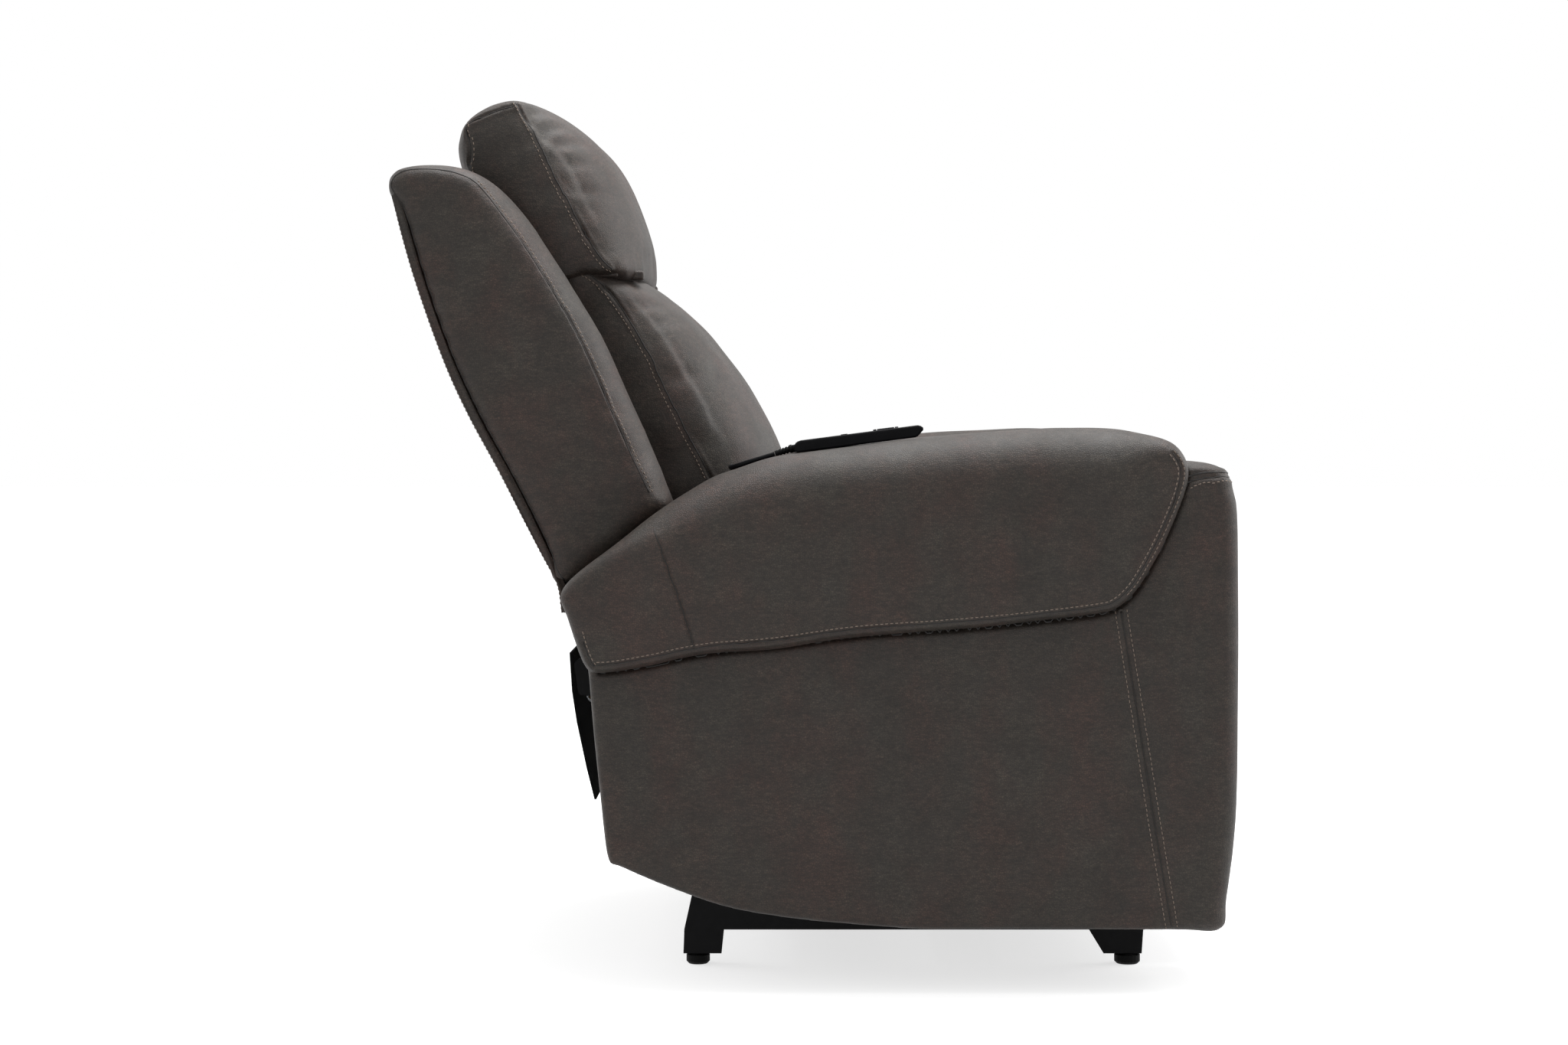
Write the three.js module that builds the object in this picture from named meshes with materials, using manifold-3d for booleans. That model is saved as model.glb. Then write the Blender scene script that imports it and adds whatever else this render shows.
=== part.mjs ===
// Power recliner armchair with wings, a wall-saving glide and a folding footrest.
// Millimetres, +Z up, the sitter looks along -Y. Side shapes are drawn as [forward, height].
import * as THREE from "three";
import { mergeVertices } from "three/addons/utils/BufferGeometryUtils.js";
import Module from "manifold-3d";

const wasm = await Module();
wasm.setup();

const PLANE = 31; // y where forward is 0
const GAP = 0.3; // left between pieces that touch
const LEFT = 1;
const RIGHT = -1;
const SIDES = [
  ["left", LEFT],
  ["right", RIGHT],
];

// Layers outwards from the middle, each as [inner x, outer x]
const LAYER = {
  crossLink: [225, 229],
  liftLink: [230, 234],
  driveLink: [235, 239],
  chassisPlate: [240, 244],
  swingLink: [247, 253],
  lug: [256, 262],
  rail: [246, 270],
  leg: [248, 268],
  armBox: [276, 470],
  armPad: [270, 500],
  wing: [275, 385],
};

const PIN = 5; // pivot pin radius
const HOLE = PIN + GAP;
const LINK = 11; // half width of a link

// Footrest: two stacked parallelograms, so every link keeps its direction or turns with the lift link
const FOLDED = THREE.MathUtils.degToRad(-112);
const CROSS_SLOPE = THREE.MathUtils.degToRad(30);
const along = ([f, z], angle, length) => [f + length * Math.cos(angle), z + length * Math.sin(angle)];
const P2 = [366, 348]; // lift link on the chassis
const P1 = along(P2, CROSS_SLOPE, -42); // drive link on the chassis
const X = along(P2, FOLDED, 215); // lift link and cross link
const Q1 = along(X, CROSS_SLOPE, -42); // drive link and cross link
const Q2 = along(P2, FOLDED, 283); // lift link and guide link
const R1 = along(X, CROSS_SLOPE, 190); // cross link and footrest bracket
const R2 = along(Q2, CROSS_SLOPE, 190); // guide link and footrest bracket

// Glide: two pairs of swing links between the base and the chassis
const SWINGS = {
  front: { low: [330, 105], high: [275, 200] },
  rear: { low: [-40, 105], high: [-95, 200] },
};

const BACK_PIVOT = [-200, 370];
const HEAD_PIVOT = [-182, 852];
const RECLINE_REAR = [20, 335]; // recline actuator on the chassis
const RECLINE_CLEVIS = [-70, -50]; // x of the two cheeks at each end of it
const HEAD_ARM = [190, 199.7]; // x of the headrest's hinge arms
const RECLINE_ROD = along(BACK_PIVOT, THREE.MathUtils.degToRad(-130), 70); // and on the back

const material = (color, roughness, metalness = 0) => ({ color, roughness, metalness });
const LEATHER = material(0x7a6455, 0.62);
const LEATHER_DARK = material(0x675447, 0.65);
const STEEL = material(0x17181a, 0.42, 0.7);
const PLASTIC = material(0x111214, 0.5);
const RUBBER = material(0x0c0c0d, 0.8);
const WOOD = material(0xb08d62, 0.7);
const CLOTH = material(0x1a1a1c, 0.95);
const ROD = material(0xb9bcc0, 0.25, 1);
const KEYCAP = material(0x2b2d30, 0.35);

const part = new THREE.Group();

function add(name, geometry, look) {
  const node = new THREE.Mesh(geometry, new THREE.MeshStandardMaterial({ ...look }));
  node.name = name;
  part.add(node);
}

// ---------- solids ----------

const ALONG_X = new THREE.Matrix4().makeBasis(
  new THREE.Vector3(0, 1, 0),
  new THREE.Vector3(0, 0, 1),
  new THREE.Vector3(1, 0, 0),
);

// A side shape pulled from one x to the other; edge rounds the two long sides,
// holes are [forward, height, radius]
function slab(outline, xa, xb, { holes = [], edge = 0, steps = 2 } = {}) {
  const points = outline.map(([f, z]) => new THREE.Vector2(PLANE - f, z));
  const shape = new THREE.Shape(THREE.ShapeUtils.isClockWise(points) ? points.reverse() : points);
  for (const [f, z, r] of holes) {
    const hole = new THREE.Path();
    hole.absarc(PLANE - f, z, r, 0, 2 * Math.PI, true);
    shape.holes.push(hole);
  }
  const geometry = new THREE.ExtrudeGeometry(shape, {
    depth: Math.abs(xb - xa) - 2 * edge,
    bevelEnabled: edge > 0,
    bevelThickness: edge,
    bevelSize: edge,
    bevelOffset: -edge,
    bevelSegments: steps,
    curveSegments: 6,
  });
  geometry.translate(0, 0, Math.min(xa, xb) + edge);
  return geometry.applyMatrix4(ALONG_X);
}

const sided = (outline, [inner, outer], side, options) =>
  slab(outline, side * inner, side * outer, options);
const oblong = (f0, f1, z0, z1) => [[f0, z0], [f1, z0], [f1, z1], [f0, z1]];

function block(x0, x1, f0, f1, z0, z1) {
  const box = new THREE.BoxGeometry(x1 - x0, f1 - f0, z1 - z0);
  return box.translate((x0 + x1) / 2, PLANE - (f0 + f1) / 2, (z0 + z1) / 2);
}

function rod([f, z], radius, xa, xb, sides = 12) {
  return new THREE.CylinderGeometry(radius, radius, Math.abs(xb - xa), sides)
    .rotateZ(Math.PI / 2)
    .translate((xa + xb) / 2, PLANE - f, z);
}

const acrossY = (x, f0, f1, z, radius, sides = 16) =>
  new THREE.CylinderGeometry(radius, radius, f1 - f0, sides).translate(x, PLANE - (f0 + f1) / 2, z);

// Turns a shape made along +Y so that it runs from one point of a side shape towards another
function aimed(geometry, x, [f0, z0], [f1, z1]) {
  const heading = new THREE.Vector3(0, f0 - f1, z1 - z0).normalize();
  geometry.applyQuaternion(new THREE.Quaternion().setFromUnitVectors(new THREE.Vector3(0, 1, 0), heading));
  return geometry.translate(x, PLANE - f0, z0);
}

// A turned solid; its profile is [radius, distance] and starts and ends on the axis
const turned = (profile, sides = 16) =>
  new THREE.LatheGeometry(profile.map(([r, d]) => new THREE.Vector2(r, d)), sides);

// A soft form that swells from its side outline to its middle outline; both have the same number of points
function cushion(sideLine, middleLine, half, steps = 4) {
  const place = (line) => line.map(([f, z]) => new THREE.Vector2(PLANE - f, z));
  let rim = place(sideLine);
  let crown = place(middleLine);
  if (THREE.ShapeUtils.isClockWise(rim)) {
    rim = rim.reverse();
    crown = crown.reverse();
  }
  const n = rim.length;
  const positions = [];
  const faces = [];
  for (let ring = -steps; ring <= steps; ring += 1) {
    const turn = (ring / steps) * (Math.PI / 2);
    for (let i = 0; i < n; i += 1) {
      const point = rim[i].clone().lerp(crown[i], Math.cos(turn));
      positions.push(half * Math.sin(turn), point.x, point.y);
    }
  }
  for (let ring = 0; ring < 2 * steps; ring += 1) {
    for (let i = 0; i < n; i += 1) {
      const a = ring * n + i;
      const b = ring * n + ((i + 1) % n);
      faces.push(a, b, a + n, b, b + n, a + n);
    }
  }
  for (const [a, b, c] of THREE.ShapeUtils.triangulateShape(rim, [])) {
    const top = 2 * steps * n;
    faces.push(top + a, top + b, top + c, a, c, b);
  }
  const geometry = new THREE.BufferGeometry();
  geometry.setAttribute("position", new THREE.Float32BufferAttribute(positions, 3));
  geometry.setIndex(faces);
  geometry.computeVertexNormals();
  return geometry;
}

// ---------- outlines ----------

// Rounds the corners of an outline; a third number in a point is its own radius
function rounded(outline, radius, steps = 3) {
  return outline.flatMap(([f, z, own = radius], i) => {
    const [pf, pz] = outline[(i + outline.length - 1) % outline.length];
    const [nf, nz] = outline[(i + 1) % outline.length];
    if (!own) return [[f, z]];
    const corner = new THREE.Vector2(f, z);
    const start = new THREE.Vector2(pf, pz).sub(corner).setLength(own).add(corner);
    const end = new THREE.Vector2(nf, nz).sub(corner).setLength(own).add(corner);
    return new THREE.QuadraticBezierCurve(start, corner, end).getPoints(steps).map((p) => [p.x, p.y]);
  });
}

// A strip of even thickness on the left of an open line
function strip(line, thickness) {
  const other = line.map((p, i) => {
    const [pf, pz] = line[Math.max(i - 1, 0)];
    const [nf, nz] = line[Math.min(i + 1, line.length - 1)];
    const run = Math.hypot(nf - pf, nz - pz);
    return [p[0] - ((nz - pz) / run) * thickness, p[1] + ((nf - pf) / run) * thickness];
  });
  return [...line, ...other.reverse()];
}

// A closed outline moved outwards by a distance
function grown(outline, distance) {
  const area = outline.reduce((sum, [f, z], i) => {
    const [nf, nz] = outline[(i + 1) % outline.length];
    return sum + f * nz - nf * z;
  }, 0);
  const out = area > 0 ? distance : -distance;
  return outline.map(([f, z], i) => {
    const [pf, pz] = outline[(i + outline.length - 1) % outline.length];
    const [nf, nz] = outline[(i + 1) % outline.length];
    const run = Math.hypot(nf - pf, nz - pz);
    return [f + ((nz - pz) / run) * out, z - ((nf - pf) / run) * out];
  });
}

// A bar with round ends round two pivots
function bar([f0, z0], [f1, z1], radius, steps = 5) {
  const angle = Math.atan2(z1 - z0, f1 - f0);
  const end = (f, z, start) =>
    Array.from({ length: steps + 1 }, (_, i) => {
      const turn = start + (i * Math.PI) / steps;
      return [f + radius * Math.cos(turn), z + radius * Math.sin(turn)];
    });
  return [...end(f1, z1, angle - Math.PI / 2), ...end(f0, z0, angle + Math.PI / 2)];
}

// ---------- joining and cutting ----------

function solid(geometry) {
  const bare = geometry.clone();
  bare.deleteAttribute("normal");
  bare.deleteAttribute("uv");
  const merged = mergeVertices(bare, 1e-3);
  return new wasm.Manifold(
    new wasm.Mesh({
      numProp: 3,
      vertProperties: new Float32Array(merged.attributes.position.array),
      triVerts: new Uint32Array(merged.index.array),
    }),
  );
}

function drawn(manifold) {
  const mesh = manifold.getMesh();
  const geometry = new THREE.BufferGeometry();
  geometry.setAttribute("position", new THREE.Float32BufferAttribute(mesh.vertProperties, 3));
  geometry.setIndex([...mesh.triVerts]);
  geometry.computeVertexNormals();
  return geometry;
}

const joined = (...pieces) => drawn(pieces.map(solid).reduce((whole, piece) => whole.add(piece)));
const cut = (piece, ...tools) =>
  drawn(tools.map(solid).reduce((whole, tool) => whole.subtract(tool), solid(piece)));

// ---------- base ----------

const RAIL = [
  [-123, 43],
  [-113, 88],
  [452, 88],
  [452, 50],
  [445, 43],
];
const LUG_ANGLES = [0, 1, 2, 3, 4, 5, 6].map((step) => (step * Math.PI) / 6);
const lug = ([f, z]) =>
  [[f + 20, 84], ...LUG_ANGLES.map((angle) => [f + 12 * Math.cos(angle), z + 12 * Math.sin(angle)]), [f - 20, 84]];

add(
  "base_frame",
  joined(
    ...SIDES.flatMap(([, side]) => [
      sided(RAIL, LAYER.rail, side),
      ...Object.values(SWINGS).map(({ low }) =>
        sided(lug(low), LAYER.lug, side, { holes: [[...low, HOLE]] })),
    ]),
    block(-250, 250, -55, -25, 48, 78),
    block(-250, 250, 135, 165, 48, 78),
  ),
  STEEL,
);

// Each foot is a block that narrows downwards, and its glide sits under the block's lower end
const LEGS = {
  front: { foot: 424, top: [376, 443], bottom: [394, 441], glide: 16 },
  rear: { foot: -106, top: [-123, -74], bottom: [-124, -77], glide: 14.5 },
};
const GLIDE_TOP = 13;
for (const [end, { foot, top, bottom, glide }] of Object.entries(LEGS)) {
  for (const [name, side] of SIDES) {
    const tapered = [
      [top[0], 43 - GAP],
      [top[1], 43 - GAP],
      [bottom[1], GLIDE_TOP + GAP],
      [bottom[0], GLIDE_TOP + GAP],
    ];
    add(`leg_${end}_${name}`, sided(tapered, LAYER.leg, side), STEEL);
    const profile = [
      [0, 0],
      [glide - 3, 0],
      [glide, 3],
      [glide, GLIDE_TOP - 2],
      [glide - 3, GLIDE_TOP],
      [0, GLIDE_TOP],
    ];
    const [inner, outer] = LAYER.leg;
    const glideShape = turned(profile, 20).rotateX(Math.PI / 2);
    add(`glide_${end}_${name}`, glideShape.translate((side * (inner + outer)) / 2, PLANE - foot, 0), RUBBER);
  }
}

add("power_inlet", cut(block(-16, 16, -73, -55 - GAP, 52, 76), acrossY(0, -74, -63, 64, 5)), PLASTIC);

// ---------- glide ----------

for (const [end, { low, high }] of Object.entries(SWINGS)) {
  for (const [name, side] of SIDES) {
    const [inner, outer] = LAYER.swingLink;
    add(
      `swing_link_${end}_${name}`,
      joined(
        sided(bar(low, high, 13), LAYER.swingLink, side),
        rod(low, PIN, side * (outer - 1), side * (LAYER.lug[1] + GAP)),
        rod(low, 8, side * (LAYER.lug[1] + GAP), side * (LAYER.lug[1] + 2.5)),
        rod(high, PIN, side * (inner + 1), side * LAYER.chassisPlate[0]),
      ),
      STEEL,
    );
  }
}

// ---------- seat chassis ----------

const FLANGE_TOP = 371.7;
const PLATE = rounded(
  [
    [470, FLANGE_TOP, 4],
    [470, 352, 8],
    [395, 318],
    [302, 292],
    [298, 184],
    [252, 184],
    [236, 242],
    [-64, 242],
    [-72, 184],
    [-118, 184],
    [-130, 242],
    [-214, 326],
    [-255, 330, 4],
    [-261, 370, 4],
    [-226, 394],
    [-182, 394],
    [-170, FLANGE_TOP, 2],
  ],
  12,
);
const TUBE_FRONT = [274, 335];
const TUBE_REAR = [60, 335];
const TUBE = 12; // half the side of a square cross tube
const CORD_HOLE = [-62, 335];
const ARM_TABS = [-30, 180, 420];

add(
  "seat_chassis",
  joined(
    ...SIDES.flatMap(([, side]) => [
      sided(PLATE, LAYER.chassisPlate, side, {
        holes: [
          [...P1, HOLE],
          [...P2, HOLE],
          [...SWINGS.front.high, HOLE],
          [...SWINGS.rear.high, HOLE],
          [...BACK_PIVOT, HOLE],
          ...(side === RIGHT ? [[...CORD_HOLE, 8]] : []),
        ],
      }),
      sided([[-150, FLANGE_TOP], [470, FLANGE_TOP], [470, 368], [-150, 368]], [240, 260], side),
      ...ARM_TABS.map((f) =>
        sided(oblong(f - 20, f + 20, FLANGE_TOP, 318), [255, LAYER.armBox[0] - GAP], side)),
    ]),
    ...[TUBE_FRONT, TUBE_REAR].map(([f, z]) => block(-241, 241, f - TUBE, f + TUBE, z - TUBE, z + TUBE)),
    ...RECLINE_CLEVIS.map((x) =>
      slab(bar(RECLINE_REAR, [TUBE_REAR[0] - TUBE, RECLINE_REAR[1]], 12), x - 2, x + 2)),
    rod(RECLINE_REAR, PIN, ...RECLINE_CLEVIS),
  ),
  STEEL,
);

// ---------- seat ----------

const SEAT_BOX = { half: 262, wall: 22, front: 476, rear: -165, low: 372, high: 430 };

function ringUp({ half, wall, front, rear, low, high }) {
  const outer = block(-half, half, rear, front, low, high);
  return cut(outer, block(-half + wall, half - wall, rear + wall, front - wall, low - 1, high + 1));
}
add("seat_box", ringUp(SEAT_BOX), WOOD);

const STRAPS = { across: 5, along: 6, width: 50 };
function strapGrid() {
  const half = SEAT_BOX.half - SEAT_BOX.wall - GAP;
  const rear = SEAT_BOX.rear + SEAT_BOX.wall + GAP;
  const front = SEAT_BOX.front - SEAT_BOX.wall - GAP;
  const straps = [];
  for (let i = 0; i < STRAPS.across; i += 1) {
    const x = -half + ((2 * half - STRAPS.width) * i) / (STRAPS.across - 1);
    straps.push(block(x, x + STRAPS.width, rear, front, 426, 429.5));
  }
  for (let i = 0; i < STRAPS.along; i += 1) {
    const f = rear + ((front - rear - STRAPS.width) * i) / (STRAPS.along - 1);
    straps.push(block(-half, half, f, f + STRAPS.width, 426, 429.5));
  }
  return joined(...straps);
}
add("seat_webbing", strapGrid(), CLOTH);

add(
  "seat_cushion",
  cushion(
    [
      [-118, 432], [-118, 500], [-100, 516], [0, 520], [250, 520], [440, 520], [492, 508], [508, 478], [506, 446],
      [494, 431],
    ],
    [
      [-118, 431], [-118, 510], [-100, 530], [0, 540], [250, 544], [440, 540], [502, 526], [522, 488], [518, 448],
      [500, 431],
    ],
    257,
  ),
  LEATHER,
);

// ---------- arms ----------

const ARM_CORE = [
  [-228, 420], [-190, 500], [-140, 540], [-94, 566], [0, 598], [94, 612], [187, 620], [375, 624], [470, 619],
  [505, 616], [522, 602], [528, 566], [528, 340], [526, 200], [516, 109], [507, 72],
  [439, 75], [183, 75], [91, 80], [0, 89], [-69, 101], [-137, 125], [-192, 148], [-206, 156], [-215, 228], [-227, 356],
];
const ARM_PAD = [
  [-256, 474], [-200, 522], [-140, 569], [-94, 598], [-56, 612], [0, 628.5], [94, 641], [187, 652], [281, 658], [375, 660],
  [425, 657], [452, 648], [470, 632], [480, 606], [478, 592], [462, 574], [446, 530], [423, 494], [396, 459], [364, 446],
  [273, 433], [182, 425], [91, 419], [0, 407], [-91, 398], [-155, 385], [-209, 377], [-231, 384], [-250, 439],
];
for (const [name, side] of SIDES) {
  add(`arm_box_${name}`, sided(ARM_CORE, LAYER.armBox, side, { edge: 12 }), LEATHER);
  const pad = sided(ARM_PAD, LAYER.armPad, side, { edge: 22, steps: 3 });
  const [inner, outer] = LAYER.armBox;
  const room = sided(grown(ARM_CORE, 0.6), [inner - 0.6, outer + 0.6], side, { edge: 12 });
  add(`arm_pad_${name}`, cut(pad, room), LEATHER);
}

// ---------- under the seat ----------

const GEARCASE = TUBE_FRONT[0] + TUBE + GAP; // the gearcase bears on the front cross tube
add(
  "footrest_motor",
  joined(
    cut(
      slab(rounded([[GEARCASE, 300], [GEARCASE, 358], [352, 358], [362, 345], [362, 306], [350, 296]], 6), -34, 34),
      rod(P1, 9 + GAP, -40, 40, 20),
    ),
    rod([318, 290], 22, 33, 130, 20),
    rod([318, 290], 24, -20, 34, 20),
  ),
  PLASTIC,
);
const controlOutline = rounded([[72 + GAP, 322], [72 + GAP, 364], [168, 364], [168, 322]], 5);
add("control_box", slab(controlOutline, -150, -92), PLASTIC);

// ---------- rear dust cover ----------

const COVER_LINE = [[-264, 382], [-261, 335], [-255, 296], [-243, 240], [-233, 200]];
add("rear_dust_cover", slab(strip(COVER_LINE.reverse(), 2.5), -239.5, 239.5), CLOTH);

// ---------- back ----------

// The wing's outer panel inside its seam, and its fuller outline between the two panels
const WING_SEAM = [
  [-464, 948], [-459, 963], [-445, 971], [-427, 974], [-408, 974], [-388, 970], [-366, 958], [-338, 921],
  [-306, 876], [-268, 813], [-233, 745], [-188, 644], [-161, 585], [-159, 570], [-261, 483], [-284, 516],
  [-327, 600], [-369, 677], [-404, 755], [-436, 847],
];
const WING_FULL = [
  [-465, 951], [-461, 967], [-446, 974], [-428, 977.5], [-406, 977.5], [-380, 971], [-350, 953], [-318, 917],
  [-284, 870], [-244, 808], [-207, 743], [-165, 648], [-142, 588], [-152, 567], [-262, 480], [-284, 515],
  [-327, 600], [-369, 677], [-404, 755], [-436, 847],
];
const PANEL_LINE = [
  [-263, 440], [-268, 474], [-288, 514], [-331, 600], [-373, 677], [-408, 755], [-440, 847], [-470, 955],
];
add("back_panel", slab(strip(PANEL_LINE, 4), -380, 380), LEATHER_DARK);
for (const [name, side] of SIDES) {
  const [inner, outer] = LAYER.wing;
  const wing = cushion(WING_SEAM, WING_FULL, (outer - inner) / 2, 3);
  add(`wing_${name}`, wing.translate((side * (inner + outer)) / 2, 0, 0), LEATHER);
}

const BOARD = [
  [-150, 545], [-284, 842], [-306, 864], [-368, 925], [-420, 925], [-405, 790], [-330, 625], [-256, 500], [-222, 470],
  [-190, 470],
];
const headEar = [[-300, 851], [-300, 855], [-186, 855], [-177, 853], [-177, 850], [-186, 849], [-280, 849]];
const backBlock = (line, half) => slab(line, -half, half);
add(
  "back_frame",
  joined(
    ...SIDES.flatMap(([, side]) => [
      sided(BOARD, [224, 246], side),
      ...[[-250, 614], [-310, 735], [-375, 885]].map(([f, z]) =>
        sided(oblong(f - 25, f + 25, z - 20, z + 20), [240, LAYER.wing[0] - GAP], side)),
      sided(headEar, [200, 212], side),
      sided(oblong(-300, -250, 850, 854), [211, 232], side),
    ]),
    backBlock([[-200, 474], [-222, 474], [-222, 530], [-200, 530]], 225),
    backBlock([[-268, 690], [-290, 690], [-290, 740], [-268, 740]], 225),
    backBlock([[-392, 880], [-414, 880], [-414, 924], [-392, 924]], 225),
    ...RECLINE_CLEVIS.map((x) => slab(bar([-214, 486], RECLINE_ROD, 10), x - 2, x + 2)),
    rod(RECLINE_ROD, PIN, ...RECLINE_CLEVIS),
    ...SIDES.map(([, side]) => rod(HEAD_PIVOT, 3, side * HEAD_ARM[0], side * 201)),
  ),
  WOOD,
);

for (const [name, side] of SIDES) {
  add(
    `back_bracket_${name}`,
    joined(
      sided(bar(BACK_PIVOT, [-258, 560], 16), [247, 251], side),
      rod(BACK_PIVOT, PIN, side * 239.7, side * 248),
      rod(BACK_PIVOT, 8, side * 237.5, side * 239.7),
    ),
    STEEL,
  );
}

add(
  "lumbar_cushion",
  cushion(
    [
      [-279, 842], [-228, 845], [-194, 806], [-164, 746], [-136, 686], [-105, 626], [-86, 580], [-76, 556],
      [-90, 548], [-142, 552], [-210, 690],
    ],
    [
      [-279, 842], [-190, 846], [-150, 828], [-104, 786], [-68, 739], [-36, 688], [-10, 634], [4, 580],
      [-16, 550], [-142, 550], [-210, 690],
    ],
    252,
  ),
  LEATHER,
);

// ---------- recline actuator ----------

const RECLINE_MID = (RECLINE_CLEVIS[0] + RECLINE_CLEVIS[1]) / 2;
const EYE = [RECLINE_MID - 7.5, RECLINE_MID + 7.5];
const TUBE_END = 190;
const ROD_BORE = 8;
const EYE_RADIUS = 12.5;
const EYE_PLAY = 2; // the pin floats this much in the rod's eye
const alongRod = (profile) => aimed(turned(profile), RECLINE_MID, RECLINE_REAR, RECLINE_ROD);
add(
  "recline_motor",
  cut(
    joined(
      rod(RECLINE_REAR, 11, ...EYE, 16),
      aimed(new THREE.BoxGeometry(15, 12, 20).translate(0, 12, 0), RECLINE_MID, RECLINE_REAR, RECLINE_ROD),
      aimed(new THREE.BoxGeometry(44, 50, 34).translate(0, 42, 0), RECLINE_MID, RECLINE_REAR, RECLINE_ROD),
      alongRod([[0, 60], [13, 60], [13, TUBE_END], [0, TUBE_END]]),
      new THREE.CylinderGeometry(19, 19, 60, 20)
        .rotateX(Math.PI / 2)
        .translate(RECLINE_MID, PLANE + 22, 295),
    ),
    rod(RECLINE_REAR, HOLE, EYE[0] - 1, EYE[1] + 1),
    alongRod([[0, 55], [ROD_BORE + GAP, 55], [ROD_BORE + GAP, TUBE_END + 1], [0, TUBE_END + 1]]),
  ),
  PLASTIC,
);
const RECLINE_LENGTH = Math.hypot(RECLINE_ROD[0] - RECLINE_REAR[0], RECLINE_ROD[1] - RECLINE_REAR[1]);
add(
  "recline_rod",
  cut(
    joined(
      alongRod([[0, 100], [ROD_BORE, 100], [ROD_BORE, RECLINE_LENGTH - 10], [0, RECLINE_LENGTH - 10]]),
      rod(RECLINE_ROD, EYE_RADIUS, ...EYE, 16),
    ),
    rod(RECLINE_ROD, PIN + EYE_PLAY, EYE[0] - 1, EYE[1] + 1),
  ),
  ROD,
);

// ---------- headrest ----------

const HEAD_REST_LINE = [[-302, 867], [-345, 912], [-389, 960]];
const headArm = [
  [HEAD_PIVOT[0] + 5, 848.5],
  [HEAD_PIVOT[0] + 5, 856.5],
  [-296, 857],
  [-306, 869],
  [-314, 861],
  [-300, 848.5],
];
add(
  "headrest_frame",
  joined(
    slab(strip([...HEAD_REST_LINE].reverse(), -6), -HEAD_ARM[1], HEAD_ARM[1]),
    ...SIDES.map(([, side]) =>
      cut(
        sided(headArm, [HEAD_ARM[0] + GAP, HEAD_ARM[1]], side),
        rod(HEAD_PIVOT, 3.3, side * 180, side * 210),
      ),
    ),
  ),
  STEEL,
);
add(
  "head_cushion",
  cushion(
    [
      [-300, 868.5], [-386, 960], [-402, 1000], [-394, 1034], [-334, 1060], [-307, 1016], [-286, 972],
      [-248, 905], [-226, 871], [-244, 861],
    ],
    [
      [-300, 868.5], [-388, 963], [-426, 1003], [-408, 1052], [-338, 1080], [-256, 1040], [-213, 990],
      [-187, 926], [-178, 880], [-192, 860],
    ],
    262,
  ),
  LEATHER,
);

// ---------- footrest ----------

add(
  "drive_frame",
  joined(
    ...SIDES.flatMap(([, side]) => [
      sided(bar(P1, Q1, LINK), LAYER.driveLink, side, { holes: [[...Q1, HOLE]] }),
      rod(P1, PIN, side * (LAYER.driveLink[1] - 1), side * (LAYER.chassisPlate[1] + GAP)),
      rod(P1, 8, side * (LAYER.chassisPlate[1] + GAP), side * (LAYER.chassisPlate[1] + 2.3)),
    ]),
    rod(P1, 9, -LAYER.driveLink[0] - 1, LAYER.driveLink[0] + 1, 16),
  ),
  STEEL,
);
for (const [name, side] of SIDES) {
  const { crossLink, liftLink, driveLink, chassisPlate } = LAYER;
  add(
    `lift_link_${name}`,
    joined(
      sided(bar(P2, Q2, LINK), liftLink, side, { holes: [[...X, HOLE]] }),
      rod(P2, PIN, side * (liftLink[1] - 1), side * (chassisPlate[1] + GAP)),
      rod(P2, 8, side * (chassisPlate[1] + GAP), side * (chassisPlate[1] + 2.3)),
      rod(Q2, PIN, side * (liftLink[1] - 1), side * driveLink[1]),
    ),
    STEEL,
  );
  add(
    `cross_link_${name}`,
    joined(
      sided(bar(Q1, R1, LINK), crossLink, side, { holes: [[...R1, HOLE]] }),
      rod(Q1, PIN, side * (crossLink[1] - 1), side * driveLink[1]),
      rod(X, PIN, side * (crossLink[1] - 1), side * liftLink[1]),
    ),
    STEEL,
  );
  const guideHoles = [[...Q2, HOLE], [...R2, HOLE]];
  const carrier = [
    [R2[0] - 14, R2[1] - 8],
    [R2[0] + 4, R2[1] - 16],
    [477.7, 148, 2],
    [477.7, 364, 2],
    [463, 364, 8],
    [R1[0] - 13, R1[1] + 4],
  ];
  add(`guide_link_${name}`, sided(bar(Q2, R2, LINK), driveLink, side, { holes: guideHoles }), STEEL);
  add(
    `footrest_bracket_${name}`,
    joined(
      sided(rounded(carrier, 9), liftLink, side),
      sided(oblong(474, 477.7, 148, 364), [202, liftLink[1]], side),
      rod(R1, PIN, side * (liftLink[0] + 1), side * (crossLink[0] - GAP)),
      rod(R1, 8, side * (crossLink[0] - GAP), side * (crossLink[0] - 2.5)),
      rod(R2, PIN, side * (liftLink[1] - 1), side * driveLink[1]),
    ),
    STEEL,
  );
}
const footBoard = rounded([[478, 110], [478, 415], [493, 415], [493, 110]], 3, 1);
add("footrest_board", slab(footBoard, -250, 250), WOOD);
add(
  "footrest_pad",
  cushion(
    [[493.3, 108], [493.3, 412], [512, 416], [526, 406], [530, 260], [526, 112], [512, 104]],
    [[493.3, 98], [493.3, 420], [515, 425], [533, 412], [539, 260], [533, 106], [515, 95]],
    255,
    3,
  ),
  LEATHER,
);

// ---------- handset ----------

const HANDSET = {
  x: -390, rear: 12, seat: 631.2, length: 157, width: 50, height: 14, slope: THREE.MathUtils.degToRad(7.4),
};
const CLUSTER = { at: 112, radius: 15.2 };
const HOME = { at: 62, radius: 4 };
const POCKET = { floor: 11, margin: 0.4 };
const KEY = { low: 11.9, high: 15.6 };

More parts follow.
